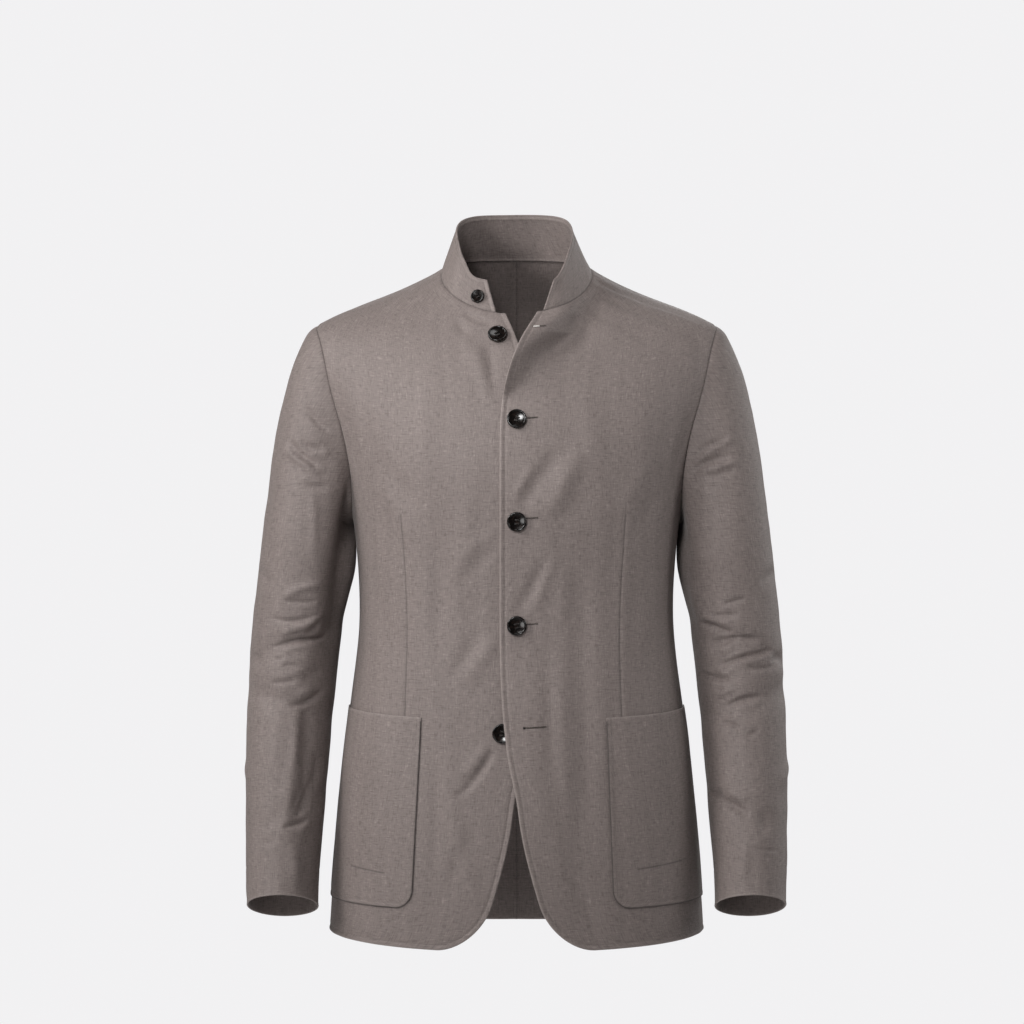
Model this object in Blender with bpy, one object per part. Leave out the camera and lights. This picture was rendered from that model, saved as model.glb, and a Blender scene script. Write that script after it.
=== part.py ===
"""Band-collar jacket in linen, single-breasted, as worn with its neck and last button undone.

Metres, +Z up. The front faces -Y and the wearer's left arm is at +X. The origin is the
middle of the neck, level with the points where the shoulder seams meet the collar.
Every cloth piece is a thin wall between two grids of points that lie on one body surface
or one sleeve surface, so pieces that are sewn together share their seam.
"""

import math
from collections import namedtuple

import bmesh
import bpy
import numpy as np
from mathutils import Matrix, Vector

# Cloth and seams
CLOTH = 0.0016
COLLAR_CLOTH = 0.0022
POCKET_CLOTH = 0.0014
SEAM_GAP = 0.0003
LAP_GAP = 0.0005
ARMHOLE_GAP = 0.00045
POCKET_GAP = 0.0007
BUTTON_GAP = 0.0008

# Body sections from hem to neck: heights at front, side and back, half width, depths, squareness
Section = namedtuple("Section", "name z_front z_side z_back half_width front back square")
BODY = [
    Section("hem", -0.7310, -0.7240, -0.7270, 0.2050, 0.1400, 0.1420, 0.06),
    Section("hip", -0.6250, -0.6250, -0.6250, 0.1985, 0.1390, 0.1400, 0.06),
    Section("pocket", -0.4860, -0.4770, -0.4770, 0.1825, 0.1300, 0.1260, 0.06),
    Section("waist", -0.3850, -0.3850, -0.3850, 0.1727, 0.1270, 0.1130, 0.06),
    Section("underarm", -0.2700, -0.2700, -0.2700, 0.1795, 0.1370, 0.1270, 0.06),
    Section("blade", -0.1750, -0.1650, -0.1650, 0.2060, 0.1320, 0.1340, 0.04),
    Section("shoulder", -0.1050, -0.0720, -0.0660, 0.2300, 0.1080, 0.1140, -0.04),
    Section("slope", -0.0740, -0.0320, -0.0170, 0.1500, 0.0900, 0.0860, 0.00),
    Section("neck", -0.0500, -0.0035, 0.0170, 0.0855, 0.0720, 0.0640, 0.06),
]
RUN_ANGLE = math.radians(60)

# Seams of the body, as angles round it from the centre front
SHOULDER_POINT = 0.2195
SHOULDER_ANGLE = math.radians(90)
UNDERARM_ANGLE = math.radians(95)
SIDE_HEM_ANGLE = math.radians(102)
ARMHOLE_FRONT = math.radians(28)
ARMHOLE_BACK = math.radians(31)
ARMHOLE_STEPS = 9

# Front edges: how far each front laps past the centre line, rolls open and is cut away
OVERLAP = 0.0145
ROLL_TOP = -0.048
ROLL_START = -0.165
ROLL = {"left": 0.0395, "right": 0.0291}
CUTAWAY_START = -0.385
CUTAWAY = 0.58
CUTAWAY_POWER = 2.16
CORNER_HEIGHT = 0.050
CORNER_REACH = 0.043
CORNER_STEPS = 3

# The left front lies over the right one and hangs clear of its lowest button
LAP_EDGE = 0.022
LAP_FADE = 0.050
LAP_TOP = -0.055
LAP_TOP_FADE = 0.030
LOOSE_START = -0.410
LOOSE_FADE = 0.070
LOOSE_REACH = 0.090
LOOSE_LIFT = 0.0042

# Patch pockets, from their inner edge at top and bottom, on the two fronts
POCKET_BOTTOM = -0.690
POCKET_RADIUS = 0.020
POCKET_INNER_TOP = {"left": 0.0955, "right": 0.1020}
POCKET_INNER_LOW = {"left": 0.1030, "right": 0.1120}
POCKET_OUTER_ANGLE = math.radians(93)
FRONT_COLUMNS = {"edge": 4, "pocket": 10, "side": 2}
BACK_COLUMNS = 8

# Heights of the rows between the pocket's corner and the underarm, and steps above the armhole
HIP_ROWS = (-0.625, -0.578, -0.530)
WAIST_ROWS = (-0.435, -0.385, -0.340, -0.300)
SHOULDER_STEPS = 6

# Band collar, from the ends of its seam to its free edge
COLLAR_END_SEAM = {"left": 0.031, "right": 0.023}
COLLAR_END_TOP = {"left": 0.0427, "right": 0.0325}
COLLAR_TOP = Section("collar_top", -0.0160, 0.0430, 0.0660, 0.0665, 0.0620, 0.0500, 0.06)
COLLAR_COLUMNS = 32
COLLAR_ROWS = 3

# Sleeve sections of the left arm, from biceps to cuff: centre, half width, half depth, forward tilt
SleeveCut = namedtuple("SleeveCut", "name x y z half_width half_depth tilt")
SLEEVE = [
    SleeveCut("biceps", 0.2310, 0.0020, -0.3110, 0.0508, 0.0660, -3.0),
    SleeveCut("upper", 0.2395, 0.0060, -0.3770, 0.0500, 0.0630, 0.0),
    SleeveCut("elbow", 0.2460, 0.0040, -0.4430, 0.0483, 0.0600, 6.0),
    SleeveCut("forearm", 0.2500, -0.0080, -0.5090, 0.0462, 0.0575, 11.0),
    SleeveCut("mid", 0.2520, -0.0200, -0.5580, 0.0445, 0.0550, 14.0),
    SleeveCut("low", 0.2530, -0.0340, -0.6070, 0.0420, 0.0520, 16.0),
    SleeveCut("wrist", 0.2540, -0.0490, -0.6560, 0.0395, 0.0490, 18.0),
    SleeveCut("cuff", 0.2535, -0.0600, -0.6900, 0.0385, 0.0475, 20.0),
]
CAP_OUT = 0.85
CAP_START = 0.55
CAP_END = 0.90
CAP_ROWS = 5
TUBE_ROWS = 17
SLEEVE_FRONT_SEAM = 7
SLEEVE_BACK_SEAM = -5

# Largest folds of a sleeve: height, slant round the arm, width, depth, middle and spread in degrees
Fold = namedtuple("Fold", "z slant width depth middle spread")
SLEEVE_FOLDS = [
    Fold(-0.405, 0.020, 0.017, 0.0030, 100, 75),
    Fold(-0.470, -0.015, 0.018, 0.0034, 80, 80),
    Fold(-0.585, 0.018, 0.017, 0.0022, 110, 60),
]

# Buttons: across, thickness at rim and middle, width of the rim, holes, and shares of the profile
Button = namedtuple("Button", "across rim middle rim_width hole_across hole_spread")
FRONT_BUTTON = Button(0.0210, 0.0034, 0.0022, 0.0026, 0.0020, 0.0020)
COLLAR_BUTTON = Button(0.0150, 0.0030, 0.0020, 0.0020, 0.0016, 0.0015)
BUTTON_SIDES = 24
BUTTON_BACK = 0.80
BUTTON_BELLY = 0.45
BUTTON_SHOULDER = 0.93
BUTTON_DISH = 1.5
HOLE_COUNT = 4
HOLE_SIDES = 8
FASTENED = {"button_chest": -0.166, "button_middle": -0.274, "button_waist": -0.385}
LOOSE = {"button_neck": (0.0205, -0.075), "button_low": (0.0155, -0.500)}
COLLAR_BUTTON_SETBACK = 0.0145
COLLAR_BUTTON_HEIGHT = 0.325

# Colours
LINEN = ("linen", (0.205, 0.175, 0.165), 0.85)
HORN = ("horn", (0.018, 0.014, 0.013), 0.25)

# Small steps for slopes, samples for looking up a run, rounds for finding an angle
ANGLE_STEP = 1e-4
RUN_STEP = 1e-5
SAMPLES = 600
ROUNDS = 30
SHARP_ANGLE = math.radians(40)


def clear_scene():
    for obj in list(bpy.data.objects):
        bpy.data.objects.remove(obj)


def material(name, colour, roughness):
    made = bpy.data.materials.new(name)
    made.use_nodes = True
    shader = made.node_tree.nodes["Principled BSDF"]
    shader.inputs["Base Color"].default_value = (*colour, 1)
    shader.inputs["Roughness"].default_value = roughness
    return made


def smooth_step(share):
    share = np.clip(share, 0, 1)
    return share * share * (3 - 2 * share)


def unit(vectors):
    return vectors / np.linalg.norm(vectors, axis=-1, keepdims=True)


def smooth_curve(stations, values, at):
    """Natural cubic spline through the values, straight on past its ends."""
    stations, values, at = (np.asarray(v, float) for v in (stations, values, at))
    step = np.diff(stations)
    slope = np.diff(values) / step
    system = np.eye(len(stations))
    bend = np.zeros(len(stations))
    for k in range(1, len(step)):
        system[k, k - 1 : k + 2] = step[k - 1], 2 * (step[k - 1] + step[k]), step[k]
        bend[k] = 6 * (slope[k] - slope[k - 1])
    bend = np.linalg.solve(system, bend)
    k = np.clip(np.searchsorted(stations, at) - 1, 0, len(step) - 1)
    inside = np.clip(at, stations[0], stations[-1])
    done = inside - stations[k]
    left = step[k] - done
    value = (bend[k] * left**3 + bend[k + 1] * done**3) / (6 * step[k])
    value += values[k] + done * slope[k] - (bend[k] * left + bend[k + 1] * done) * step[k] / 6
    first = slope[0] - bend[1] * step[0] / 6
    last = slope[-1] + bend[-2] * step[-1] / 6
    return value + np.where(at < stations[0], first, last) * (at - inside)


def normals(surface, first, second, first_step=ANGLE_STEP, second_step=RUN_STEP):
    """Unit normals of a surface of two numbers, by small steps along both."""
    along = surface(first + first_step, second) - surface(first - first_step, second)
    across = surface(first, second + second_step) - surface(first, second - second_step)
    return unit(np.cross(along, across))


# Body surface: an angle round the body, 0 at centre front and 90 degrees at the left side,
# and a run up the body in metres, from the hem to the neck


def ring_point(angle, ring):
    lean = ring.square * np.sin(2 * angle)
    ahead = np.cos(angle - lean)
    depth = np.where(ahead > 0, ring.front, ring.back)
    tip = (ring.z_front - ring.z_back) / 2 * np.cos(angle)
    dip = ((ring.z_front + ring.z_back) / 2 - ring.z_side) * np.cos(angle) ** 2
    return np.stack(
        [ring.half_width * np.sin(angle + lean), -depth * ahead, ring.z_side + tip + dip], axis=-1
    )


def section_runs():
    points = np.array([ring_point(RUN_ANGLE, ring) for ring in BODY])
    lengths = np.linalg.norm(np.diff(points, axis=0), axis=1)
    return np.concatenate([[0], np.cumsum(lengths)])


RUNS = section_runs()
RUN_OF = {ring.name: run for ring, run in zip(BODY, RUNS)}


def section_at(run):
    columns = zip(*[ring[1:] for ring in BODY])
    return Section("", *[smooth_curve(RUNS, column, run) for column in columns])


def body_point(angle, run):
    angle, run = np.broadcast_arrays(np.asarray(angle, float), np.asarray(run, float))
    return ring_point(angle, section_at(run))


def body_normal(angle, run):
    return normals(body_point, angle, run)


def run_at_shoulder_point():
    """The run where the shoulder seam, past the widest section, has come in to its outer end."""
    runs = np.linspace(RUNS[-1], RUN_OF["shoulder"], SAMPLES)
    return np.interp(SHOULDER_POINT, section_at(runs).half_width, runs)


SHOULDER_RUN = run_at_shoulder_point()


def run_at_height(z):
    """The run where the centre front has this height."""
    runs = np.linspace(RUNS[0], RUNS[-1], SAMPLES)
    return np.interp(z, body_point(0, runs)[:, 2], runs)


def angle_at_width(x, run):
    """The angle at which the body is x metres from its middle."""
    ring = section_at(run)
    reach = np.arcsin(np.clip(x / ring.half_width, -1, 1))
    angle = reach
    for _ in range(ROUNDS):
        angle = reach - ring.square * np.sin(2 * angle)
    return angle


def turn_for(distance, angle, run):
    """The angle that moves a point of the body this far round it."""
    ahead = body_point(angle + ANGLE_STEP, run) - body_point(angle, run)
    return distance * ANGLE_STEP / np.linalg.norm(ahead, axis=-1)


def armhole(turn):
    """Angle and run of the armhole at a turn round it: 0 at the shoulder, positive in front."""
    height = (1 + np.cos(turn)) / 2
    middle = UNDERARM_ANGLE + (SHOULDER_ANGLE - UNDERARM_ANGLE) * height
    reach = np.where(np.sin(turn) > 0, ARMHOLE_FRONT, ARMHOLE_BACK)
    run = RUN_OF["underarm"] + height * (SHOULDER_RUN - RUN_OF["underarm"])
    return middle - reach * np.sin(turn), run


def side_seam(run):
    return SIDE_HEM_ANGLE + (UNDERARM_ANGLE - SIDE_HEM_ANGLE) * run / RUN_OF["underarm"]


# Rows that all body pieces share, from the hem up


def corner_heights(height):
    """Heights up a rounded corner at even steps of its arc, without its foot."""
    arc = np.linspace(math.pi / 2, 0, CORNER_STEPS + 1)[1:]
    return height * (1 - np.sin(arc))


ARMHOLE_TURNS = np.linspace(math.pi, 0, ARMHOLE_STEPS + 1)
HEM_HEIGHT = BODY[0].z_front
HEM_ROWS = HEM_HEIGHT + corner_heights(CORNER_HEIGHT)[:-1]
POCKET_CORNER_ROWS = POCKET_BOTTOM + corner_heights(POCKET_RADIUS)
LOWER_RUNS = np.concatenate([
    [RUNS[0]],
    run_at_height(np.concatenate([HEM_ROWS, [POCKET_BOTTOM], POCKET_CORNER_ROWS, HIP_ROWS])),
    [RUN_OF["pocket"]],
    run_at_height(np.array(WAIST_ROWS)),
])
UPPER_RUNS = np.linspace(SHOULDER_RUN, RUNS[-1], SHOULDER_STEPS + 1)[1:]
ROWS = np.concatenate([LOWER_RUNS, armhole(ARMHOLE_TURNS)[1], UPPER_RUNS])
FIRST_ARMHOLE_ROW = len(LOWER_RUNS)
SHOULDER_ROW = FIRST_ARMHOLE_ROW + ARMHOLE_STEPS
POCKET_BOTTOM_ROW = 1 + len(HEM_ROWS)
POCKET_TOP_ROW = FIRST_ARMHOLE_ROW - len(WAIST_ROWS) - 1


def seam_angles(sense):
    """Outer border of a front (sense 1) or a back (sense -1): side seam, armhole, shoulder seam."""
    angles = np.concatenate([
        side_seam(LOWER_RUNS),
        armhole(sense * ARMHOLE_TURNS)[0],
        np.full(SHOULDER_STEPS, SHOULDER_ANGLE),
    ])
    sewn = np.ones(len(ROWS), bool)
    sewn[FIRST_ARMHOLE_ROW + 1 : SHOULDER_ROW] = False
    return angles - sense * np.where(sewn, turn_for(SEAM_GAP / 2, angles, ROWS), 0)


def front_edge(side, z):
    """How far a front's edge lies on its own side of the centre line at this height."""
    rolled = np.clip((z - ROLL_START) / (ROLL_TOP - ROLL_START), 0, None)
    fallen = np.clip(CUTAWAY_START - z, 0, None)
    round_share = np.clip(1 - (z - HEM_HEIGHT) / CORNER_HEIGHT, 0, 1)
    corner = CORNER_REACH * (1 - np.sqrt(1 - round_share**2))
    return -OVERLAP + ROLL[side] * rolled**2 + CUTAWAY * fallen**CUTAWAY_POWER + corner


def lap_lift(side, points):
    """How far the left front stands off the body, to lie over the right one."""
    if side == "right":
        return np.zeros(points.shape[:-1])
    x, z = points[..., 0], points[..., 2]
    lapped = (1 - smooth_step((x - LAP_EDGE) / LAP_FADE)) * smooth_step((LAP_TOP - z) / LAP_TOP_FADE)
    loose = smooth_step((LOOSE_START - z) / LOOSE_FADE) * (1 - smooth_step(x / LOOSE_REACH))
    return lapped * (CLOTH + LAP_GAP) + loose * LOOSE_LIFT


def pocket_angles(side):
    """Angles of a pocket's inner and outer edge on every row, straight on above and below it."""
    top, low = ROWS[POCKET_TOP_ROW], ROWS[POCKET_BOTTOM_ROW]
    share = np.clip((ROWS - low) / (top - low), 0, 1)
    inner = POCKET_INNER_LOW[side] + (POCKET_INNER_TOP[side] - POCKET_INNER_LOW[side]) * share
    return angle_at_width(inner, ROWS), np.full(len(ROWS), POCKET_OUTER_ANGLE)


def front_angles(side):
    """Angles of a front's columns on every row. Two columns follow the pocket's edges."""
    first = angle_at_width(front_edge(side, body_point(0, ROWS)[:, 2]), ROWS)
    last = seam_angles(1)
    count = sum(FRONT_COLUMNS.values())
    at_pocket = smooth_step((RUN_OF["underarm"] - ROWS) / (RUN_OF["underarm"] - RUN_OF["pocket"]))
    inner_share = FRONT_COLUMNS["edge"] / count
    outer_share = inner_share + FRONT_COLUMNS["pocket"] / count
    inner, outer = pocket_angles(side)
    inner = at_pocket * inner + (1 - at_pocket) * (first + (last - first) * inner_share)
    outer = at_pocket * outer + (1 - at_pocket) * (first + (last - first) * outer_share)
    spans = [
        np.linspace(first, inner, FRONT_COLUMNS["edge"], endpoint=False),
        np.linspace(inner, outer, FRONT_COLUMNS["pocket"], endpoint=False),
        np.linspace(outer, last, FRONT_COLUMNS["side"] + 1),
    ]
    return np.concatenate(spans).T


# Walls


def mirrored(grid):
    return grid[:, ::-1] * np.array([-1, 1, 1])


def build_object(name, mesh, finish):
    mesh.materials.append(finish)
    obj = bpy.data.objects.new(name, mesh)
    bpy.context.scene.collection.objects.link(obj)
    mesh.shade_smooth()
    mesh.set_sharp_from_angle(angle=SHARP_ANGLE)
    return obj


def wall(name, outer, inner, finish):
    """Closed wall between two grids. Columns cross rows so that the outer grid faces out."""
    rows, columns = outer.shape[:2]
    points = np.concatenate([outer.reshape(-1, 3), inner.reshape(-1, 3)])
    over = np.arange(rows * columns).reshape(rows, columns)
    under = over + rows * columns
    faces = []
    for j in range(rows - 1):
        for i in range(columns - 1):
            quad = (j, i), (j, i + 1), (j + 1, i + 1), (j + 1, i)
            faces.append([over[at] for at in quad])
            faces.append([under[at] for at in reversed(quad)])
    for near, far in zip(border(over), border(under)):
        faces.append([near[1], near[0], far[0], far[1]])
    mesh = bpy.data.meshes.new(name)
    mesh.from_pydata(points.tolist(), [], [[int(v) for v in face] for face in faces])
    mesh.validate()
    return build_object(name, mesh, finish)


def border(index):
    """Edges round a grid, as pairs, in the sense in which its quads run."""
    loop = [*index[0], *index[1:, -1], *index[-1, -2::-1], *index[-2:0:-1, 0]]
    return list(zip(loop, loop[1:] + loop[:1]))


def front(side, finish):
    angles = front_angles(side)
    runs = np.broadcast_to(ROWS[:, None], angles.shape)
    points = body_point(angles, runs)
    out = body_normal(angles, runs)
    outer = points + out * lap_lift(side, points)[..., None]
    inner = outer - out * CLOTH
    if side == "right":
        outer, inner = mirrored(outer), mirrored(inner)
    return wall(f"front_{side}", outer, inner, finish)


def back(side, finish):
    first = seam_angles(-1)
    last = math.pi - turn_for(SEAM_GAP / 2, np.full(len(ROWS), math.pi), ROWS)
    angles = np.linspace(first, last, BACK_COLUMNS + 1).T
    runs = np.broadcast_to(ROWS[:, None], angles.shape)
    outer = body_point(angles, runs)
    inner = outer - body_normal(angles, runs) * CLOTH
    if side == "right":
        outer, inner = mirrored(outer), mirrored(inner)
    return wall(f"back_{side}", outer, inner, finish)


def pocket(side, finish):
    """Patch on a front's own points, moved out, with rounded lower corners."""
    rows = slice(POCKET_BOTTOM_ROW, POCKET_TOP_ROW + 1)
    inner_edge, outer_edge = (edge[rows] for edge in pocket_angles(side))
    runs = ROWS[rows]
    height = body_point(0, runs)[:, 2] - POCKET_BOTTOM
    round_share = np.clip(1 - height / POCKET_RADIUS, 0, 1)
    inset = POCKET_RADIUS * (1 - np.sqrt(1 - round_share**2))
    first = inner_edge + turn_for(inset, inner_edge, runs)
    last = outer_edge - turn_for(inset, outer_edge, runs)
    angles = np.linspace(first, last, FRONT_COLUMNS["pocket"] + 1).T
    grid_runs = np.broadcast_to(runs[:, None], angles.shape)
    points = body_point(angles, grid_runs)
    out = body_normal(angles, grid_runs)
    lift = lap_lift(side, points)[..., None] + POCKET_GAP
    under = points + out * lift
    outer = under + out * POCKET_CLOTH
    if side == "right":
        outer, under = mirrored(outer), mirrored(under)
    return wall(f"pocket_{side}", outer, under, finish)


# Collar surface: a share of its length from the left end round the back, and of its height


def collar_point(length_share, height_share):
    length_share, height_share = np.broadcast_arrays(
        np.asarray(length_share, float), np.asarray(height_share, float)
    )
    seam_ring = BODY[-1]
    low, high = (
        (np.arcsin(ends["left"] / ring.half_width), 2 * math.pi - np.arcsin(ends["right"] / ring.half_width))
        for ends, ring in ((COLLAR_END_SEAM, seam_ring), (COLLAR_END_TOP, COLLAR_TOP))
    )
    seam_angle = low[0] + (low[1] - low[0]) * length_share
    top_angle = high[0] + (high[1] - high[0]) * length_share
    seam = body_point(seam_angle, RUNS[-1])
    rise = unit(body_point(seam_angle, RUNS[-1]) - body_point(seam_angle, RUNS[-1] - RUN_STEP))
    top = ring_point(top_angle, COLLAR_TOP)
    seam = seam + rise * SEAM_GAP
    return seam + (top - seam) * height_share[..., None]


def collar(finish):
    shares = np.linspace(0, 1, COLLAR_COLUMNS + 1)
    heights = np.linspace(0, 1, COLLAR_ROWS + 1)
    length_share, height_share = np.meshgrid(shares, heights)
    outer = collar_point(length_share, height_share)
    out = normals(collar_point, length_share, height_share, ANGLE_STEP, ANGLE_STEP)
    return wall("collar", outer, outer - out * COLLAR_CLOTH, finish)


# Sleeve surface of the left arm: a turn round it, 0 at its outer side and 90 degrees in front,
# and a run down it: 0 to 1 over the cap, 1 to 2 from the biceps to the cuff


def tube_runs():
    centres = np.array([[cut.x, cut.y, cut.z] for cut in SLEEVE])
    lengths = np.linalg.norm(np.diff(centres, axis=0), axis=1)
    along = np.concatenate([[0], np.cumsum(lengths)])
    return along / along[-1]


TUBE_STATIONS = tube_runs()


def tube_point(turn, share):
    turn, share = np.broadcast_arrays(np.asarray(turn, float), np.asarray(share, float))
    columns = zip(*[cut[1:] for cut in SLEEVE])
    cut = SleeveCut("", *[smooth_curve(TUBE_STATIONS, column, share) for column in columns])
    tilt = np.radians(cut.tilt)
    depth = -cut.half_depth * np.sin(turn)
    points = np.stack(
        [
            cut.x + cut.half_width * np.cos(turn),
            cut.y + depth * np.cos(tilt),
            cut.z - depth * np.sin(tilt),
        ],
        axis=-1,
    )
    out = np.stack([np.cos(turn), -np.sin(turn), np.zeros_like(turn)], axis=-1)
    return points + out * fold_depth(turn, points[..., 2])[..., None]


def fold_depth(turn, z):
    """The largest folds across a sleeve: troughs that slant and fade round the arm."""
    depth = np.zeros_like(z)
    for fold in SLEEVE_FOLDS:
        away = (np.degrees(turn) - fold.middle + 180) % 360 - 180
        line = fold.z + fold.slant * away / fold.spread
        across = (z - line) / fold.width
        trough = (1 - across**2) * np.exp(-(across**2))
        depth -= fold.depth * trough * np.exp(-((away / fold.spread) ** 2))
    return depth


def armhole_frame(turn):
    """Points of the armhole, the body's normal there, and the way across the seam into the hole."""
    point = body_point(*armhole(turn))
    along = body_point(*armhole(turn + ANGLE_STEP)) - body_point(*armhole(turn - ANGLE_STEP))
    out = body_normal(*armhole(turn))
    return point, out, unit(np.cross(out, along))


def sleeve_point(turn, run):
    turn, run = np.broadcast_arrays(np.asarray(turn, float), np.asarray(run, float))
    s = np.clip(run, 0, 1)[..., None]
    point, out, across = armhole_frame(turn)
    start = point + unit(out + across) * ARMHOLE_GAP
    end = tube_point(turn, 0)
    length = np.linalg.norm(end - start, axis=-1, keepdims=True)
    away = CAP_OUT * np.abs(np.cos(turn / 2))  # the same on both sides of the back seam
    leave = np.stack([away, np.zeros_like(away), -np.sqrt(1 - away**2)], axis=-1)
    arrive = unit(tube_point(turn, ANGLE_STEP) - end)
    cap = (
        start * (1 + 2 * s) * (1 - s) ** 2
        + leave * length * CAP_START * s * (1 - s) ** 2
        + end * s * s * (3 - 2 * s)
        + arrive * length * CAP_END * s * s * (s - 1)
    )
    return np.where(run[..., None] < 1, cap, tube_point(turn, np.clip(run - 1, 0, None)))


def sleeve_piece(name, side, turns, finish):
    """One cut piece of a sleeve. Its edge at the armhole doesn't reach into the body's cloth."""
    runs = np.concatenate([np.linspace(0, 1, CAP_ROWS, endpoint=False), np.linspace(1, 2, TUBE_ROWS + 1)])
    turn, run = np.meshgrid(turns, runs)
    outer = sleeve_point(turn, run)
    inward = -normals(sleeve_point, turn, np.maximum(run, RUN_STEP), ANGLE_STEP, RUN_STEP)
    across = armhole_frame(turn[0])[2]
    into_body = np.minimum((inward[0] * across).sum(axis=-1, keepdims=True), 0)
    inward[0] = unit(inward[0] - into_body * across)
    inner = outer + inward * CLOTH
    if side == "right":
        outer, inner = mirrored(outer), mirrored(inner)
    return wall(name, outer, inner, finish)


def sleeve(side, finish):
    """Top sleeve over the outside of the arm and under sleeve against the body."""
    step = math.pi / ARMHOLE_STEPS
    gap = SEAM_GAP / 2 / SLEEVE[0].half_width
    full = 2 * ARMHOLE_STEPS
    top = step * np.arange(SLEEVE_BACK_SEAM, SLEEVE_FRONT_SEAM + 1)
    under = step * np.arange(SLEEVE_FRONT_SEAM, SLEEVE_BACK_SEAM + full + 1)
    for turns in (top, under):
        turns[0] += gap
        turns[-1] -= gap
    return [
        sleeve_piece(f"sleeve_{side}_top", side, top, finish),
        sleeve_piece(f"sleeve_{side}_under", side, under, finish),
    ]


# Buttons


def turned(name, profile, sides):
    """Mesh turned about Z from a closed profile of (radius, height) whose ends lie on the axis."""
    shape = bmesh.new()
    points = [shape.verts.new((radius, 0, height)) for radius, height in profile]
    edges = [shape.edges.new(pair) for pair in zip(points, points[1:])]
    bmesh.ops.spin(
        shape, geom=points + edges, cent=(0, 0, 0), axis=(0, 0, 1), angle=2 * math.pi, steps=sides
    )
    bmesh.ops.remove_doubles(shape, verts=shape.verts, dist=1e-6)
    bmesh.ops.recalc_face_normals(shape, faces=shape.faces)
    mesh = bpy.data.meshes.new(name)
    shape.to_mesh(mesh)
    shape.free()
    return mesh


def hole_cutter(name, size):
    """Pins that cut a button's holes."""
    shape = bmesh.new()
    for hole in range(HOLE_COUNT):
        angle = 2 * math.pi * (hole + 0.5) / HOLE_COUNT
        reach = size.hole_spread * math.sqrt(2)
        place = Matrix.Translation((reach * math.cos(angle), reach * math.sin(angle), 0))
        bmesh.ops.create_cone(
            shape, cap_ends=True, segments=HOLE_SIDES, radius1=size.hole_across / 2,
            radius2=size.hole_across / 2, depth=4 * size.rim, matrix=place,
        )
    mesh = bpy.data.meshes.new(name)
    shape.to_mesh(mesh)
    shape.free()
    cutter = bpy.data.objects.new(name, mesh)
    bpy.context.scene.collection.objects.link(cutter)
    cutter.hide_render = True
    cutter.display_type = "WIRE"
    return cutter


def button(name, size, place, out, finish):
    """Round button with a raised rim and four holes, its back on the cloth."""
    radius = size.across / 2
    profile = [
        (0, 0),
        (radius * BUTTON_BACK, 0),
        (radius, size.rim * BUTTON_BELLY),
        (radius * BUTTON_SHOULDER, size.rim),
        (radius - size.rim_width, size.rim),
        (radius - size.rim_width * BUTTON_DISH, size.middle),
        (0, size.middle),
    ]
    obj = build_object(name, turned(name, profile, BUTTON_SIDES), finish)
    cutter = hole_cutter(f"{name}_holes", size)
    cut = obj.modifiers.new("holes", "BOOLEAN")
    cut.operation = "DIFFERENCE"
    cut.object = cutter
    turn = Vector(out).to_track_quat("Z", "Y").to_matrix().to_4x4()
    for piece in (obj, cutter):
        piece.matrix_world = Matrix.Translation(place) @ turn
    return obj


def front_button(name, side, x, z, finish):
    """A button on the cloth of one front, x metres on that front's side of the centre line."""
    run = run_at_height(z)
    angle = angle_at_width(x, run)
    point, out = body_point(angle, run), body_normal(angle, run)
    point = point + out * (lap_lift(side, point) + BUTTON_GAP)
    flip = np.array([-1 if side == "right" else 1, 1, 1])
    return button(name, FRONT_BUTTON, point * flip, out * flip, finish)


def collar_button(finish):
    ends = collar_point(np.array([1, 1 - ANGLE_STEP]), COLLAR_BUTTON_HEIGHT)
    share = 1 - COLLAR_BUTTON_SETBACK * ANGLE_STEP / np.linalg.norm(ends[1] - ends[0])
    point = collar_point(share, COLLAR_BUTTON_HEIGHT)
    out = normals(collar_point, share, COLLAR_BUTTON_HEIGHT, ANGLE_STEP, ANGLE_STEP)
    return button("button_collar", COLLAR_BUTTON, point + out * BUTTON_GAP, out, finish)


def main():
    clear_scene()
    linen, horn = material(*LINEN), material(*HORN)
    for side in ("left", "right"):
        front(side, linen)
        back(side, linen)
        pocket(side, linen)
        sleeve(side, linen)
    collar(linen)
    for name, z in FASTENED.items():
        front_button(name, "left", 0, z, horn)
    for name, (x, z) in LOOSE.items():
        front_button(name, "right", x, z, horn)
    collar_button(horn)


main()
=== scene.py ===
import math

import bmesh
import bpy
import numpy as np
from mathutils import Matrix, Vector, kdtree


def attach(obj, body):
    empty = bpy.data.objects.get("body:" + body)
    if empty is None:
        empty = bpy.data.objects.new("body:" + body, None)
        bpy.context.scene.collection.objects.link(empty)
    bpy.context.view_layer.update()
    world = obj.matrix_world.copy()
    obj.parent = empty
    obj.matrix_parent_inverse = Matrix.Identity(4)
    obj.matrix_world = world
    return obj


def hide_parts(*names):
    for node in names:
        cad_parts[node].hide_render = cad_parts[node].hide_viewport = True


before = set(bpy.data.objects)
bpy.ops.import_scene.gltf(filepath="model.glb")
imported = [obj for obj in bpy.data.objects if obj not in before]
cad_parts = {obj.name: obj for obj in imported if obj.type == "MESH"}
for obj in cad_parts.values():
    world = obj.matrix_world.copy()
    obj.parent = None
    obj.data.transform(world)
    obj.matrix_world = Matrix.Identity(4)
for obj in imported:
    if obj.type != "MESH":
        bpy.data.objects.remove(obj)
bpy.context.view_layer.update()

# Band-collar linen jacket. Metres, +Z up, front towards -Y, wearer's left at +X.


# small helpers

sides = ("left", "right")
signOf = {"left": 1, "right": -1}
smallStep, tinyStep = 1e-4, 1e-5  # for slopes
flipX = np.array([-1, 1, 1])
forward = np.array([0, -1, 0])


def linked(name, data):
    obj = bpy.data.objects.new(name, data)
    bpy.context.scene.collection.objects.link(obj)
    return obj


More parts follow.
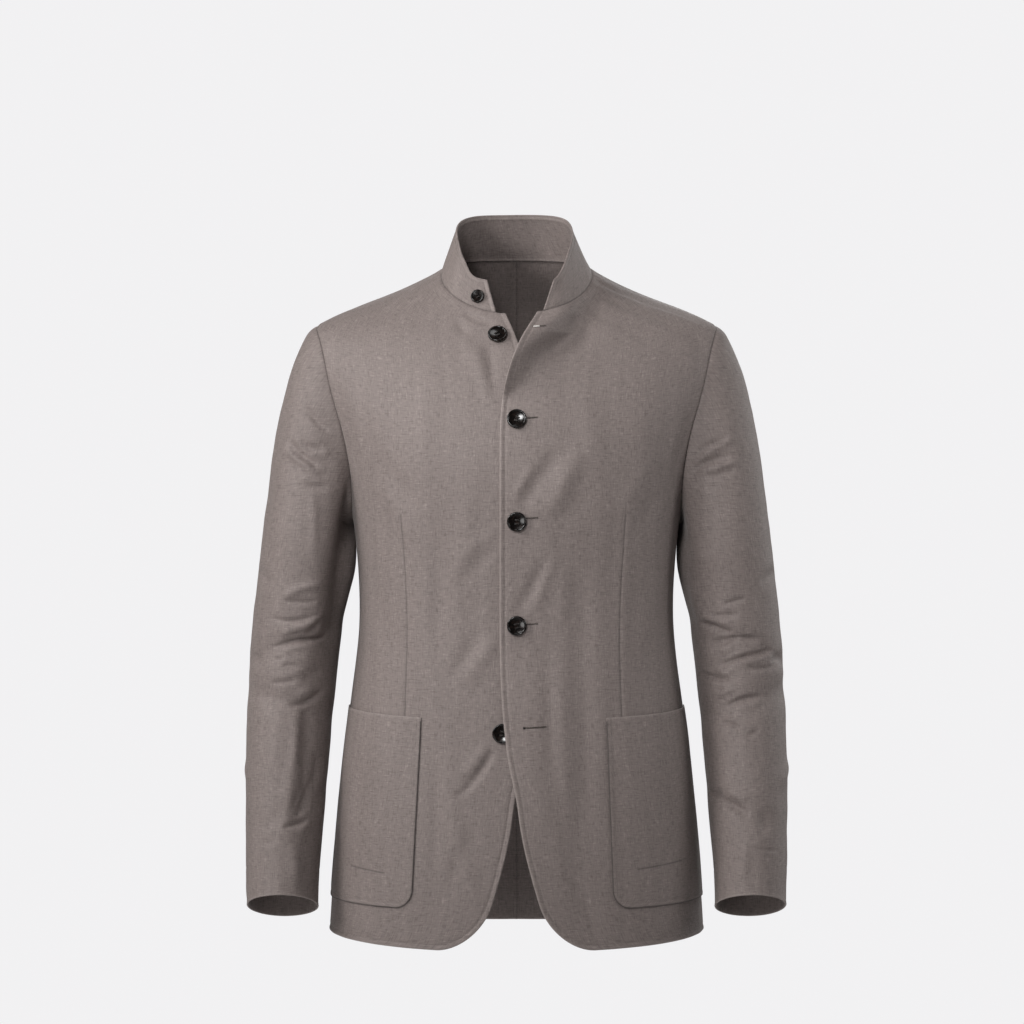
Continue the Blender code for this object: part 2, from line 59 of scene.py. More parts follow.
def meshFrom(name, shape):
    mesh = bpy.data.meshes.new(name)
    shape.to_mesh(mesh)
    shape.free()
    return mesh


def softStep(share):
    share = np.clip(share, 0, 1)
    return share * share * (3 - 2 * share)


def bell(away, width=1):
    return np.exp(-((away / width) ** 2))


def unitOf(vectors):
    return vectors / np.maximum(np.linalg.norm(vectors, axis=-1, keepdims=True), 1e-12)


def blendOf(first, last, share):
    return first + (last - first) * share


def throughPoints(stations, values, at):  # natural cubic, straight past its ends
    stations, values, at = (np.asarray(v, float) for v in (stations, values, at))
    step = np.diff(stations)
    slope = np.diff(values) / step
    system = np.eye(len(stations))
    bend = np.zeros(len(stations))
    for k in range(1, len(step)):
        system[k, k - 1 : k + 2] = step[k - 1], 2 * (step[k - 1] + step[k]), step[k]
        bend[k] = 6 * (slope[k] - slope[k - 1])
    bend = np.linalg.solve(system, bend)
    k = np.clip(np.searchsorted(stations, at) - 1, 0, len(step) - 1)
    inside = np.clip(at, stations[0], stations[-1])
    done = inside - stations[k]
    left = step[k] - done
    value = (bend[k] * left**3 + bend[k + 1] * done**3) / (6 * step[k])
    value += values[k] + done * slope[k] - (bend[k] * left + bend[k + 1] * done) * step[k] / 6
    first = slope[0] - bend[1] * step[0] / 6
    last = slope[-1] + bend[-2] * step[-1] / 6
    return value + np.where(at < stations[0], first, last) * (at - inside)


def surfaceNormal(surface, first, second, secondStep=tinyStep):
    along = surface(first + smallStep, second) - surface(first - smallStep, second)
    across = surface(first, second + secondStep) - surface(first, second - secondStep)
    return unitOf(np.cross(along, across))


rippleGrid = {"cells": 61, "shift": (20.37, 20.71)}


def ripple(x, y, cellX, cellY, seed):  # smooth bumps from -1 to 1, always the same for a seed
    cells = rippleGrid["cells"]
    table = np.random.default_rng(seed).uniform(-1, 1, (cells, cells))
    i, j = x / cellX + rippleGrid["shift"][0], y / cellY + rippleGrid["shift"][1]
    i0, j0 = np.floor(i).astype(int), np.floor(j).astype(int)
    p, q = (t**3 * (t * (6 * t - 15) + 10) for t in (i - i0, j - j0))
    i0, i1, j0, j1 = (k % cells for k in (i0, i0 + 1, j0, j0 + 1))
    low = blendOf(table[i0, j0], table[i1, j0], p)
    high = blendOf(table[i0, j1], table[i1, j1], p)
    return blendOf(low, high, q)


def waveOf(x, y, height, cellX, cellY, seed):
    return height * ripple(x, y, cellX, cellY, seed)


creaseShape = {
    "wobbleX": (2.2, 26, 31, 5), "wobbleY": (2.2, 31, 23, 6),  # height, cells in mm, seed
    "fade": 0.75, "shoulders": 0.6,
}


def creases(x, y, rows):  # rows in mm: from x y, to x y, bow, width, depth (+ ridge, - trough)
    x, y = x * 1000, y * 1000
    wobbleX, wobbleY = waveOf(x, y, *creaseShape["wobbleX"]), waveOf(x, y, *creaseShape["wobbleY"])
    total = np.zeros_like(x)
    for x0, y0, x1, y1, bow, width, depth in rows:
        length = math.hypot(x1 - x0, y1 - y0)
        dx, dy = (x1 - x0) / length, (y1 - y0) / length
        px, py = x + wobbleX - x0, y + wobbleY - y0
        along = np.clip((px * dx + py * dy) / length, 0, 1)
        across = (py * dx - px * dy - bow * 4 * along * (1 - along)) / width
        fade = (4 * along * (1 - along)) ** creaseShape["fade"]
        total += depth * fade * (1 - creaseShape["shoulders"] * across**2) * bell(across)
    return total / 1000


def treeOf(points):
    tree = kdtree.KDTree(len(points))
    for k, p in enumerate(points):
        tree.insert(p, k)
    tree.balance()
    return tree


def gapTo(points, line):  # distance from each point to the nearest point of a line
    tree = treeOf(line)
    return np.array([tree.find(p)[2] for p in points.reshape(-1, 3)]).reshape(points.shape[:-1])


def lengthAlong(points):
    return np.concatenate([[0], np.cumsum(np.linalg.norm(np.diff(points, axis=0), axis=1))])


def evenLine(points, step):
    lengths = np.linalg.norm(np.diff(points, axis=0), axis=1)
    points = points[np.concatenate([[True], lengths > 1e-7])]
    run = lengthAlong(points)
    at = np.linspace(0, run[-1], max(3, int(run[-1] / step) + 1))
    return np.stack([np.interp(at, run, points[:, k]) for k in range(3)], axis=-1)


def evenLines(lines, step):
    return np.concatenate([evenLine(line, step) for line in lines])


# cloth and seams, as in the CAD part

cloth = {
    "wall": 0.0016, "collarWall": 0.0022, "pocketWall": 0.0010,
    "seamGap": 0.000006, "collarGap": 0.00003, "lapGap": 0.0005, "armholeGap": 0.00006,
    "pocketGap": 0.0004, "buttonGap": 0.0008,
    "seamRise": 0.0007, "seamRiseAt": 0.0016, "seamRiseReach": 0.009,  # cloth swells up beside a seam
    "pucker": 0.00028, "puckerReach": 0.008,
    "edgePuff": 0.00045, "edgeDent": 0.00045,  # turned edge and the dent of its stitching
    "puffShare": 0.8, "puffStart": 0.0012, "hemReach": 0.004,
    "stitchInset": 0.0048, "stitchDentWidth": 0.0011, "stitchLift": 0.00005,
    "puckerCell": 0.0085, "puckerStart": 0.003, "puckerSeed": 31,
    "seamStart": 0.002, "heldReach": 0.016,  # where seam shapes and creases begin beside a seam
    "wearAndHighlightReach": 0.0011, "paintedShadeReach": 0.0006,  # pale edges, worn and partly a painted highlight; painted shade in seams
    "fineStep": 0.0008, "seamStep": 0.0012, "pathStep": 0.0015,  # points along edges, seams, stitching
}


# body surface: an angle round it from the centre front and a run up it from the hem

body = {
    # height at front, side, back, half width, depth in front, behind, squareness
    "rings": {
        "hem": (-0.7310, -0.7205, -0.7270, 0.2050, 0.1400, 0.1420, 0.06),
        "hip": (-0.6250, -0.6250, -0.6250, 0.1985, 0.1390, 0.1400, 0.06),
        "pocket": (-0.4860, -0.4770, -0.4770, 0.1825, 0.1300, 0.1260, 0.06),
        "waist": (-0.3850, -0.3850, -0.3850, 0.1727, 0.1270, 0.1130, 0.06),
        "underarm": (-0.2700, -0.2700, -0.2700, 0.1795, 0.1370, 0.1270, 0.06),
        "blade": (-0.1750, -0.1650, -0.1650, 0.2060, 0.1320, 0.1340, 0.04),
        "shoulder": (-0.1050, -0.0720, -0.0660, 0.2300, 0.1080, 0.1140, -0.04),
        "slope": (-0.0740, -0.0320, -0.0170, 0.1500, 0.0900, 0.0860, 0.00),
        "neck": (-0.0500, -0.0035, 0.0170, 0.0830, 0.0720, 0.0640, 0.06),
    },
    "runAngle": math.radians(60),
    "shoulderPoint": 0.2195,
    "shoulderAngle": math.radians(90),
    "underarmAngle": math.radians(95),
    "sideHemAngle": math.radians(102),
    "armholeFront": math.radians(28),
    "armholeBack": math.radians(31),
    "armholeLean": (0.14, 0.08),  # straightens its front
    "rowStep": 0.0030, "cornerRows": 22, "armholeRows": 72, "roofRows": 34,
    "neckSteps": (0.0040, 0.0022, 0.0011, 0.0005, 0), "samples": 140,
    "runSamples": 600, "angleRounds": 30,
    # height, cells round and up it, seed
    "broadWave": (0.00060, 0.062, 0.085, 11), "fineWave": (0.00014, 0.026, 0.034, 12),
    "longWave": (0.00055, 0.017, 0.170, 13), "waveRadius": 0.165, "waveLean": (0.4, 0.3),
}


def ringPoint(angle, ring):
    zFront, zSide, zBack, halfWidth, front, back, square = ring
    lean = square * np.sin(2 * angle)
    ahead = np.cos(angle - lean)
    depth = np.where(ahead > 0, front, back)
    tip = (zFront - zBack) / 2 * np.cos(angle)
    dip = ((zFront + zBack) / 2 - zSide) * np.cos(angle) ** 2
    return np.stack([halfWidth * np.sin(angle + lean), -depth * ahead, zSide + tip + dip], axis=-1)


ringList = list(body["rings"].values())
ringSpots = np.array([ringPoint(body["runAngle"], ring) for ring in ringList])
ringRuns = lengthAlong(ringSpots)
runOf = dict(zip(body["rings"], ringRuns))
neckRun = ringRuns[-1]
hemHeight = ringList[0][0]


def ringAt(run):
    return [throughPoints(ringRuns, column, run) for column in zip(*ringList)]


def bodyPoint(angle, run):
    angle, run = np.broadcast_arrays(np.asarray(angle, float), np.asarray(run, float))
    return ringPoint(angle, ringAt(run))


def bodyNormal(angle, run):
    return surfaceNormal(bodyPoint, angle, run)


roofRuns = np.linspace(neckRun, runOf["shoulder"], body["runSamples"])
shoulderRun = np.interp(body["shoulderPoint"], ringAt(roofRuns)[3], roofRuns)


def runAtHeight(z):
    runs = np.linspace(0, neckRun, body["runSamples"])
    return np.interp(z, bodyPoint(0, runs)[:, 2], runs)


def angleAtWidth(x, run):
    ring = ringAt(run)
    reach = np.arcsin(np.clip(x / ring[3], -1, 1))
    angle = reach
    for _ in range(body["angleRounds"]):
        angle = reach - ring[6] * np.sin(2 * angle)
    return angle


def turnFor(distance, angle, run):
    ahead = bodyPoint(angle + smallStep, run) - bodyPoint(angle, run)
    return distance * smallStep / np.linalg.norm(ahead, axis=-1)


def armhole(turn):  # 0 at the shoulder, positive in front
    height = (1 + np.cos(turn)) / 2
    middle = blendOf(body["underarmAngle"], body["shoulderAngle"], height)
    reach = np.where(np.sin(turn) > 0, body["armholeFront"], body["armholeBack"])
    run = blendOf(runOf["underarm"], shoulderRun, height)
    once, twice = body["armholeLean"]
    swing = np.sin(turn) + once * np.sin(2 * turn) + twice * np.sin(3 * turn)
    return middle - reach * swing, run


def sideSeam(run):
    return blendOf(body["sideHemAngle"], body["underarmAngle"], run / runOf["underarm"])


# front edges, lap and cutaway

frontCut = {
    "overlap": {"left": 0.0174, "right": 0.0153}, "rollTop": -0.048,
    "rollStart": {"left": -0.200, "right": -0.165},
    "roll": {"left": 0.0420, "right": 0.0291}, "rollPower": {"left": 2.65, "right": 2.0},
    "cutawayStart": -0.385, "cutaway": 0.58, "cutawayPower": 2.16,
    "cornerHeight": 0.050, "cornerReach": 0.043, "tip": 0.0024, "tipAt": -0.570, "tipSpan": 0.030,
    "lapEdge": 0.022, "lapFade": 0.050, "lapTop": -0.055, "lapTopFade": 0.030,
    "looseStart": -0.410, "looseFade": 0.070, "looseReach": 0.090, "looseLift": 0.0042,
    "openSlope": {"left": 0.86, "right": 0.04}, "openReach": 0.052, "openSoft": 0.004,  # rolled neck
    "openFrom": -0.149, "openTo": -0.071, "openSeam": 0.62, "openDip": 0.011, "openDipReach": 0.021,
    "openFlat": 0.030, "openEase": 0.70,  # eases off towards the edge
    "openStart": 4, "openDipFrom": 0.4, "openDipSpan": 0.5, "openFree": 0.020,
    "dart": {"left": 0.1135, "right": 0.1208},  # how far out each dart lies
    "dartTop": -0.246, "dartBow": 0.0040, "dartMiddle": -0.365, "dartSpan": 0.110,
    "dartDip": 0.0005, "dartWidth": 0.0011, "dartRise": 0.0005, "dartRiseAt": 0.004, "dartRiseWidth": 0.003,
    "dartLean": 0.0055, "dartLeanFrom": -0.43, "dartLeanSpan": 0.22,
    "dartLow": -0.50, "dartFadeTop": 0.020, "dartFadeLow": 0.006,
    "dartShare": 0.58, "dartRowsOver": 0.110, "dartRowsFade": 0.10, "dartClear": (0.006, 0.010),
    "creaseDepth": 1.5, "underFade": 0.014, "grainTurn": 0.15,
    "edgeSteps": (0, 0.0005, 0.0014, 0.0026, 0.0038, 0.0047, 0.0055, 0.0063, 0.0074, 0.0092),
    "seamSteps": (0.0036, 0.0020, 0.0011, 0.0005, 0),
    "dartSteps": (-0.0030, -0.0015, -0.0006, 0, 0.0006, 0.0015, 0.0030),
    "innerColumns": 34, "outerColumns": 34,
}


def frontEdge(side, z):
    start = frontCut["rollStart"][side]
    rolled = np.clip((z - start) / (frontCut["rollTop"] - start), 0, None) ** frontCut["rollPower"][side]
    fallen = np.clip(frontCut["cutawayStart"] - z, 0, None)
    share = np.clip(1 - (z - hemHeight) / frontCut["cornerHeight"], 0, 1)
    corner = frontCut["cornerReach"] * (1 - np.sqrt(1 - share**2))
    cut = frontCut["cutaway"] * fallen ** frontCut["cutawayPower"]
    cut += frontCut["tip"] * bell(z - frontCut["tipAt"], frontCut["tipSpan"])
    return -frontCut["overlap"][side] + frontCut["roll"][side] * rolled + cut + corner


def lapLift(side, points):  # the left front lies over the right one
    if side == "right":
        return np.zeros(points.shape[:-1])
    x, z = points[..., 0], points[..., 2]
    lapped = 1 - softStep((x - frontCut["lapEdge"]) / frontCut["lapFade"])
    lapped = lapped * softStep((frontCut["lapTop"] - z) / frontCut["lapTopFade"])
    loose = softStep((frontCut["looseStart"] - z) / frontCut["looseFade"])
    loose = loose * (1 - softStep(x / frontCut["looseReach"]))
    return lapped * (cloth["wall"] + cloth["lapGap"]) + loose * frontCut["looseLift"]


def openRoll(side, x, z):  # how far the unbuttoned neck comes forward, and the hollow along its fold
    rise = np.clip((z - frontCut["openFrom"]) / (frontCut["openTo"] - frontCut["openFrom"]), 0, 1)
    inside = frontCut["openReach"] * rise - x + frontEdge(side, np.minimum(z, frontCut["rollTop"]))
    eased = inside - frontCut["openFlat"]
    ahead = (inside + np.hypot(inside, frontCut["openSoft"])) / 2
    ahead = ahead - frontCut["openEase"] * (eased + np.hypot(eased, frontCut["openSoft"])) / 2
    ahead = ahead * softStep(rise * frontCut["openStart"])
    hollow = frontCut["openDip"] * softStep((rise - frontCut["openDipFrom"]) / frontCut["openDipSpan"])
    hollow = hollow * bell(inside, frontCut["openDipReach"])
    return frontCut["openSlope"][side] * ahead, frontCut["openSlope"][side] * hollow


def rolledOut(side, points, sewnGap):  # straight forward, less of it at the collar
    ahead, hollow = openRoll(side, points[..., 0], points[..., 2])
    free = softStep(sewnGap / frontCut["openFree"])
    ahead = ahead * blendOf(frontCut["openSeam"], 1, free) - hollow * free
    return ahead[..., None] * forward


def dartWidthAt(side, z):
    bow = frontCut["dartBow"] * bell(z - frontCut["dartMiddle"], frontCut["dartSpan"])
    lean = softStep((z - frontCut["dartLeanFrom"]) / frontCut["dartLeanSpan"])
    return frontCut["dart"][side] + frontCut["dartLean"] * lean - bow


# creases of the two fronts on each front's own side, in mm: from x z, to x z, bow, width, depth

frontCreases = {
    "left": [
        (34, -74, 1, -136, -3, 9, -1.0),  # roll of the open neck
        (67, -36, 64, -64, 0, 6, -1.5),
        (92, -14, 100, -52, 0, 6, 0.9),
        (-2, -256, 18, -208, 0, 5, 1.1),  # drags above the middle button
        (4, -262, 44, -200, 1, 10, -2.0),
        (32, -270, 68, -194, -2, 12, 2.2),
        (52, -280, 84, -222, -2, 15, -0.8),
        (30, -312, 2, -372, 2, 8, -1.6),  # drags to the waist button
        (49, -318, 46, -386, 0, 8, 1.1),
        (44, -304, 18, -368, 0, 8, 0.8),
        (70, -320, 66, -430, 2, 11, -0.8),
        (30, -400, 34, -560, 2, 9, -0.9),  # soft falls below the waist
        (48, -392, 54, -600, -2, 10, 0.9),
        (68, -420, 72, -640, 2, 12, -0.9),
        (86, -360, 90, -560, 0, 12, 0.7),
        (20, -560, 60, -690, 3, 12, 0.8),
        (46, -640, 90, -716, 2, 10, -0.8),
        (60, -110, 84, -250, 4, 18, 0.9),  # chest
        (100, -130, 120, -240, 2, 20, -0.9),
        (146, -206, 108, -268, 0, 11, 0.8),
        (156, -236, 116, -300, 2, 10, -0.8),
        (150, -330, 128, -420, 2, 13, 0.8),
        (100, -64, 150, -92, 2, 12, -0.6),
    ],
    "right": [
        (30, -80, 14, -152, 0, 8, -1.6),  # fold beside the lap
        (44, -84, 29, -152, 0, 9, 1.0),
        (58, -46, 22, -63, 2, 6, -1.6),
        (67, -55, 53, -76, 0, 6, -1.3),
        (58, -70, 36, -118, 2, 10, 0.8),
        (17, -284, 64, -320, 2, 9, 0.7),
        (16, -300, 70, -352, 2, 10, -0.8),
        (17, -392, 54, -448, 2, 12, 1.2),  # soft swell below the waist button
        (34, -388, 74, -452, 2, 9, -0.9),
        (21, -516, 52, -558, 0, 5, -2.4),  # drag at the last button
        (46, -552, 68, -568, -2, 5, -1.2),
        (30, -512, 62, -548, 0, 7, 0.9),
        (52, -200, 60, -360, -3, 14, 0.8),
        (78, -250, 84, -450, 3, 13, -0.8),
        (98, -320, 96, -470, 0, 10, 0.6),
        (70, -470, 66, -640, 2, 11, 0.8),
        (88, -500, 86, -690, 0, 10, -0.8),
        (44, -600, 84, -712, 4, 12, -0.9),
        (64, -590, 40, -690, 2, 9, 0.8),
        (148, -200, 104, -262, 2, 12, -0.9),
        (154, -228, 112, -296, -2, 11, 0.9),
        (150, -330, 130, -430, 2, 13, -0.8),
        (90, -110, 104, -230, 3, 20, 0.9),
        (104, -62, 156, -90, 2, 12, 0.6),
    ],
}


def bodyRipple(angle, run):
    arc = angle * body["waveRadius"]
    leanX, leanY = body["waveLean"]
    wave = waveOf(arc, run, *body["broadWave"])
    wave += waveOf(arc + leanX * run, run - leanY * arc, *body["fineWave"])
    wave += waveOf(arc, run, *body["longWave"])
    return wave


def ownCreases(side, x, z):
    return frontCut["creaseDepth"] * creases(x, z, frontCreases[side])


def frontSwell(side, angle, run, points, sewnGap):  # how far the cloth stands off the plain form
    x, z = points[..., 0], points[..., 2]
    own = ownCreases(side, x, z)
    if side == "right":  # beneath the lap it follows the front that lies over it
        under = 1 - softStep((x - frontCut["overlap"]["left"]) / frontCut["underFade"])
        own = blendOf(own, ownCreases("left", -x, z), under)
    held = softStep(sewnGap / cloth["heldReach"])
    return (own + bodyRipple(signOf[side] * angle, run)) * held + lapLift(side, points)


def bodyRowRuns():
    arc = np.linspace(math.pi / 2, 0, body["cornerRows"] + 1)
    corner = runAtHeight(hemHeight + frontCut["cornerHeight"] * (1 - np.sin(arc)))
    count = int((runOf["underarm"] - corner[-1]) / body["rowStep"])
    side = np.linspace(corner[-1], runOf["underarm"], count + 1)[1:-1]
    hole = armhole(np.linspace(math.pi, 0, body["armholeRows"] + 1))[1]
    steps = np.array(body["neckSteps"])
    roof = np.linspace(shoulderRun, neckRun - steps[0], body["roofRows"])[1:]
    rows = np.concatenate([corner, side, hole, roof, neckRun - steps[1:]])
    return rows, len(corner) + len(side)


bodyRows, firstHoleRow = bodyRowRuns()
lastHoleRow = firstHoleRow + body["armholeRows"]


def seamAngles(sense):  # 1 in front, -1 behind: side seam, armhole, shoulder seam
    turns = sense * np.linspace(math.pi, 0, body["armholeRows"] + 1)
    angles = np.concatenate([
        sideSeam(bodyRows[:firstHoleRow]), armhole(turns)[0],
        np.full(len(bodyRows) - lastHoleRow - 1, body["shoulderAngle"]),
    ])
    sewn = np.ones(len(bodyRows), bool)
    sewn[firstHoleRow + 1 : lastHoleRow] = False
    return angles - sense * np.where(sewn, turnFor(cloth["seamGap"] / 2, angles, bodyRows), 0)


def bodyGrid(rows, first, last, columnsOf, samples):  # columnsOf gives a row's places along its length
    angles, arcs = [], []
    for row, (run, low, high) in enumerate(zip(rows, first, last)):
        sample = np.linspace(low, high, samples)
        length = lengthAlong(bodyPoint(sample, run))
        at = columnsOf(row, length[-1], lambda angle: np.interp(angle, sample, length))
        angles.append(np.interp(at, length, sample))
        arcs.append(at)
    angles, arcs = np.array(angles), np.array(arcs)
    runs = np.broadcast_to(rows[:, None], angles.shape)
    return angles, runs, arcs, bodyPoint(angles, runs), bodyNormal(angles, runs)


def evenColumns(steps, count):  # close steps at both ends, even ones between

    def columns(row, length, arcAt):
        inside = np.linspace(steps[-1], length - steps[-1], count)[1:-1]
        return np.concatenate([steps, inside, length - steps[::-1]])

    return columns


# shells of cloth from a grid of outer points

def borderOf(index):
    return np.concatenate([index[0], index[1:, -1], index[-1, -2::-1], index[-2:0:-1, 0]])


def clothShell(name, outer, out, wall, roundness, flat, marks, mirror=False):
    inner = outer - out * wall
    if mirror:
        outer, inner, out = (a[:, ::-1] * flipX for a in (outer, inner, out))
        flat, roundness = flat[:, ::-1], roundness[:, ::-1]
        marks = {key: mark[:, ::-1] for key, mark in marks.items()}
    rows, columns = outer.shape[:2]
    over = np.arange(rows * columns).reshape(rows, columns)
    under = over + rows * columns
    a, b, c, d = over[:-1, :-1], over[:-1, 1:], over[1:, 1:], over[1:, :-1]
    quads = [np.stack([a, b, c, d], axis=-1).reshape(-1, 4)]
    quads.append(quads[0][:, ::-1] + rows * columns)
    loop = borderOf(over)
    top = outer.reshape(-1, 3)[loop]
    low = inner.reshape(-1, 3)[loop]
    lean = unitOf(np.cross(np.roll(top, -1, 0) - np.roll(top, 1, 0), out.reshape(-1, 3)[loop]))
    swell = roundness.reshape(-1)[loop][:, None] * wall / 2
    points = [outer.reshape(-1, 3), inner.reshape(-1, 3)]
    rings = [loop]
    for turn in (math.pi / 4, math.pi / 2, 3 * math.pi / 4):  # rounded edge
        ring = (top + low) / 2 + (top - low) / 2 * math.cos(turn) + lean * swell * math.sin(turn)
        rings.append(np.arange(len(loop)) + sum(len(p) for p in points))
        points.append(ring)
    rings.append(borderOf(under))
    for near, far in zip(rings, rings[1:]):
        quads.append(np.stack([np.roll(near, -1), near, far, np.roll(far, -1)], axis=-1))
    quads = np.concatenate(quads)
    source = np.concatenate([over.reshape(-1), over.reshape(-1), loop, loop, loop])
    mesh = bpy.data.meshes.new(name)
    points = np.concatenate(points)
    mesh.vertices.add(len(points))
    mesh.vertices.foreach_set("co", points.ravel())
    mesh.loops.add(quads.size)
    mesh.loops.foreach_set("vertex_index", quads.ravel().astype(np.int32))
    mesh.polygons.add(len(quads))
    mesh.polygons.foreach_set("loop_start", np.arange(0, quads.size, 4, dtype=np.int32))
    mesh.polygons.foreach_set("use_smooth", np.ones(len(quads), bool))
    mesh.update(calc_edges=True)
    mesh.validate()
    uv = mesh.uv_layers.new(name="cut")
    uv.data.foreach_set("uv", flat.reshape(-1, 2)[source][quads.ravel()].ravel())
    for key, mark in marks.items():
        layer = mesh.attributes.new(key, "FLOAT", "POINT")
        layer.data.foreach_set("value", mark.reshape(-1)[source])
    return linked(name, mesh)


def seamShape(sewnGap, along):  # swell and pucker beside a seam, none on the seam itself
    rise = cloth["seamRise"] * (1 - bell(sewnGap, cloth["seamRiseAt"]))
    rise = rise * bell(sewnGap, cloth["seamRiseReach"])
    ruck = ripple(along, along * 0, cloth["puckerCell"], 1.0, cloth["puckerSeed"])
    ruck = ruck * bell(sewnGap, cloth["puckerReach"])
    return rise + cloth["pucker"] * ruck * softStep(sewnGap / cloth["puckerStart"])


def edgeShape(freeGap):  # puffed turned edge, dented by its stitches
    inset = cloth["stitchInset"]
    puff = cloth["edgePuff"] * softStep((inset - freeGap) / (inset * cloth["puffShare"]))
    puff = puff * softStep(freeGap / cloth["puffStart"] + 0.5)
    dent = -cloth["edgeDent"] * bell(freeGap - inset, cloth["stitchDentWidth"])
    return puff + dent


def hemPuff(hemGap):
    return cloth["edgePuff"] * softStep(1 - hemGap / cloth["hemReach"])


def marksOf(freeGap, shadeGap):  # worn pale edges with a painted highlight on them, painted shade along seams
    return {"edgeWearAndHighlight": bell(freeGap, cloth["wearAndHighlightReach"]), "paintedSeamShade": bell(shadeGap, cloth["paintedShadeReach"])}


# fronts

fronts = {}


def makeFront(side):
    heights = bodyPoint(0, bodyRows)[:, 2]
    first, last = angleAtWidth(frontEdge(side, heights), bodyRows), seamAngles(1)
    edgeSteps, seamSteps = np.array(frontCut["edgeSteps"]), np.array(frontCut["seamSteps"])
    dartSteps = np.array(frontCut["dartSteps"])
    dartAngles = angleAtWidth(dartWidthAt(side, heights), bodyRows)
    near = softStep((runOf["underarm"] + frontCut["dartRowsOver"] - bodyRows) / frontCut["dartRowsFade"])
    clearIn, clearOut = frontCut["dartClear"]

    def columns(row, length, arcAt):
        dart = blendOf(length * frontCut["dartShare"], arcAt(dartAngles[row]), near[row])
        dart = np.clip(dart, edgeSteps[-1] + clearIn, length - clearOut)
        inner = np.linspace(edgeSteps[-1], dart + dartSteps[0], frontCut["innerColumns"])[1:-1]
        outer = np.linspace(dart + dartSteps[-1], length - seamSteps[0], frontCut["outerColumns"])[1:-1]
        return np.concatenate([edgeSteps, inner, dart + dartSteps, outer, length - seamSteps])

    angles, runs, arcs, base, out = bodyGrid(bodyRows, first, last, columns, body["samples"])
    edge = evenLine(np.concatenate([base[::-1, 0], base[0, 1:]]), cloth["fineStep"])
    sewn = evenLine(np.concatenate([base[:, -1], base[-1, ::-1]]), cloth["seamStep"])
    ditch = evenLines((base[: lastHoleRow - 1, -1], base[-1]), cloth["seamStep"])
    freeGap, sewnGap, ditchGap = gapTo(base, edge), gapTo(base, sewn), gapTo(base, ditch)
    dartColumn = len(edgeSteps) + frontCut["innerColumns"] - 2 + len(dartSteps) // 2
    dartGap = np.abs(arcs - arcs[:, dartColumn : dartColumn + 1])
    z = base[..., 2]
    inDart = softStep((frontCut["dartTop"] - z) / frontCut["dartFadeTop"])
    inDart = inDart * softStep((z - frontCut["dartLow"]) / frontCut["dartFadeLow"])
    dart = -frontCut["dartDip"] * inDart * bell(dartGap, frontCut["dartWidth"])
    dart += frontCut["dartRise"] * inDart * bell(dartGap - frontCut["dartRiseAt"], frontCut["dartRiseWidth"])
    swell = frontSwell(side, angles, runs, base, sewnGap) + edgeShape(freeGap)
    swell = swell + seamShape(ditchGap, runs + arcs) * softStep(sewnGap / cloth["seamStart"]) + dart
    # worn edges with a painted highlight, and painted shade along the seams and the dart
    marks = marksOf(freeGap, np.minimum(ditchGap, dartGap + (1 - inDart)))
    roundness = np.zeros(angles.shape)
    roundness[:, 0] = 1
    roundness[0] = 1
    grain = np.stack([arcs + first[:, None] * frontCut["grainTurn"], runs], axis=-1)
    outer = base + out * swell[..., None] + rolledOut(side, base, sewnGap)
    name = f"front_{side}_cloth"
    obj = clothShell(name, outer, out, cloth["wall"], roundness, grain, marks, side == "right")
    fronts[side] = {"base": base, "outer": outer, "out": out, "line": edge, "sewn": sewn}
    return obj


frontPieces = {side: makeFront(side) for side in sides}
print("fronts", [len(o.data.polygons) for o in frontPieces.values()])


# backs

backCut = {
    "columns": 74, "seamSteps": (0, 0.0005, 0.0011, 0.0020, 0.0036),
    # own-side x z to x z, bow, width, depth in mm
    "creases": {
        "left": [
            (44, -150, 52, -350, 6, 18, 1.4), (86, -210, 96, -400, 4, 18, -1.4),
            (12, -366, 96, -380, 4, 8, -1.6), (26, -392, 128, -384, -4, 9, 1.2),
            (18, -410, 104, -424, 3, 9, -1.2), (150, -236, 92, -318, 4, 12, -1.3),
            (158, -262, 110, -352, 3, 11, 1.1), (36, -440, 30, -680, 4, 15, 1.2),
            (70, -450, 78, -700, -4, 16, -1.3), (112, -430, 120, -660, 3, 15, 1.1),
            (150, -470, 156, -690, 2, 13, -0.9), (60, -40, 130, -78, 3, 14, -0.8),
        ],
        "right": [
            (38, -170, 48, -360, -5, 17, 1.2), (80, -190, 98, -410, 5, 19, -1.3),
            (16, -372, 110, -366, -4, 8, -1.5), (20, -398, 116, -404, 3, 9, 1.1),
            (30, -424, 92, -414, 3, 9, -1.0), (148, -228, 96, -330, -3, 13, -1.2),
            (160, -270, 104, -340, 2, 10, 1.0), (30, -450, 42, -690, -4, 16, -1.2),
            (76, -440, 72, -660, 4, 15, 1.2), (108, -450, 118, -700, -3, 16, -1.1),
            (146, -500, 158, -680, 2, 12, 0.9), (54, -36, 124, -70, 3, 14, 0.8),
        ],
    },
}


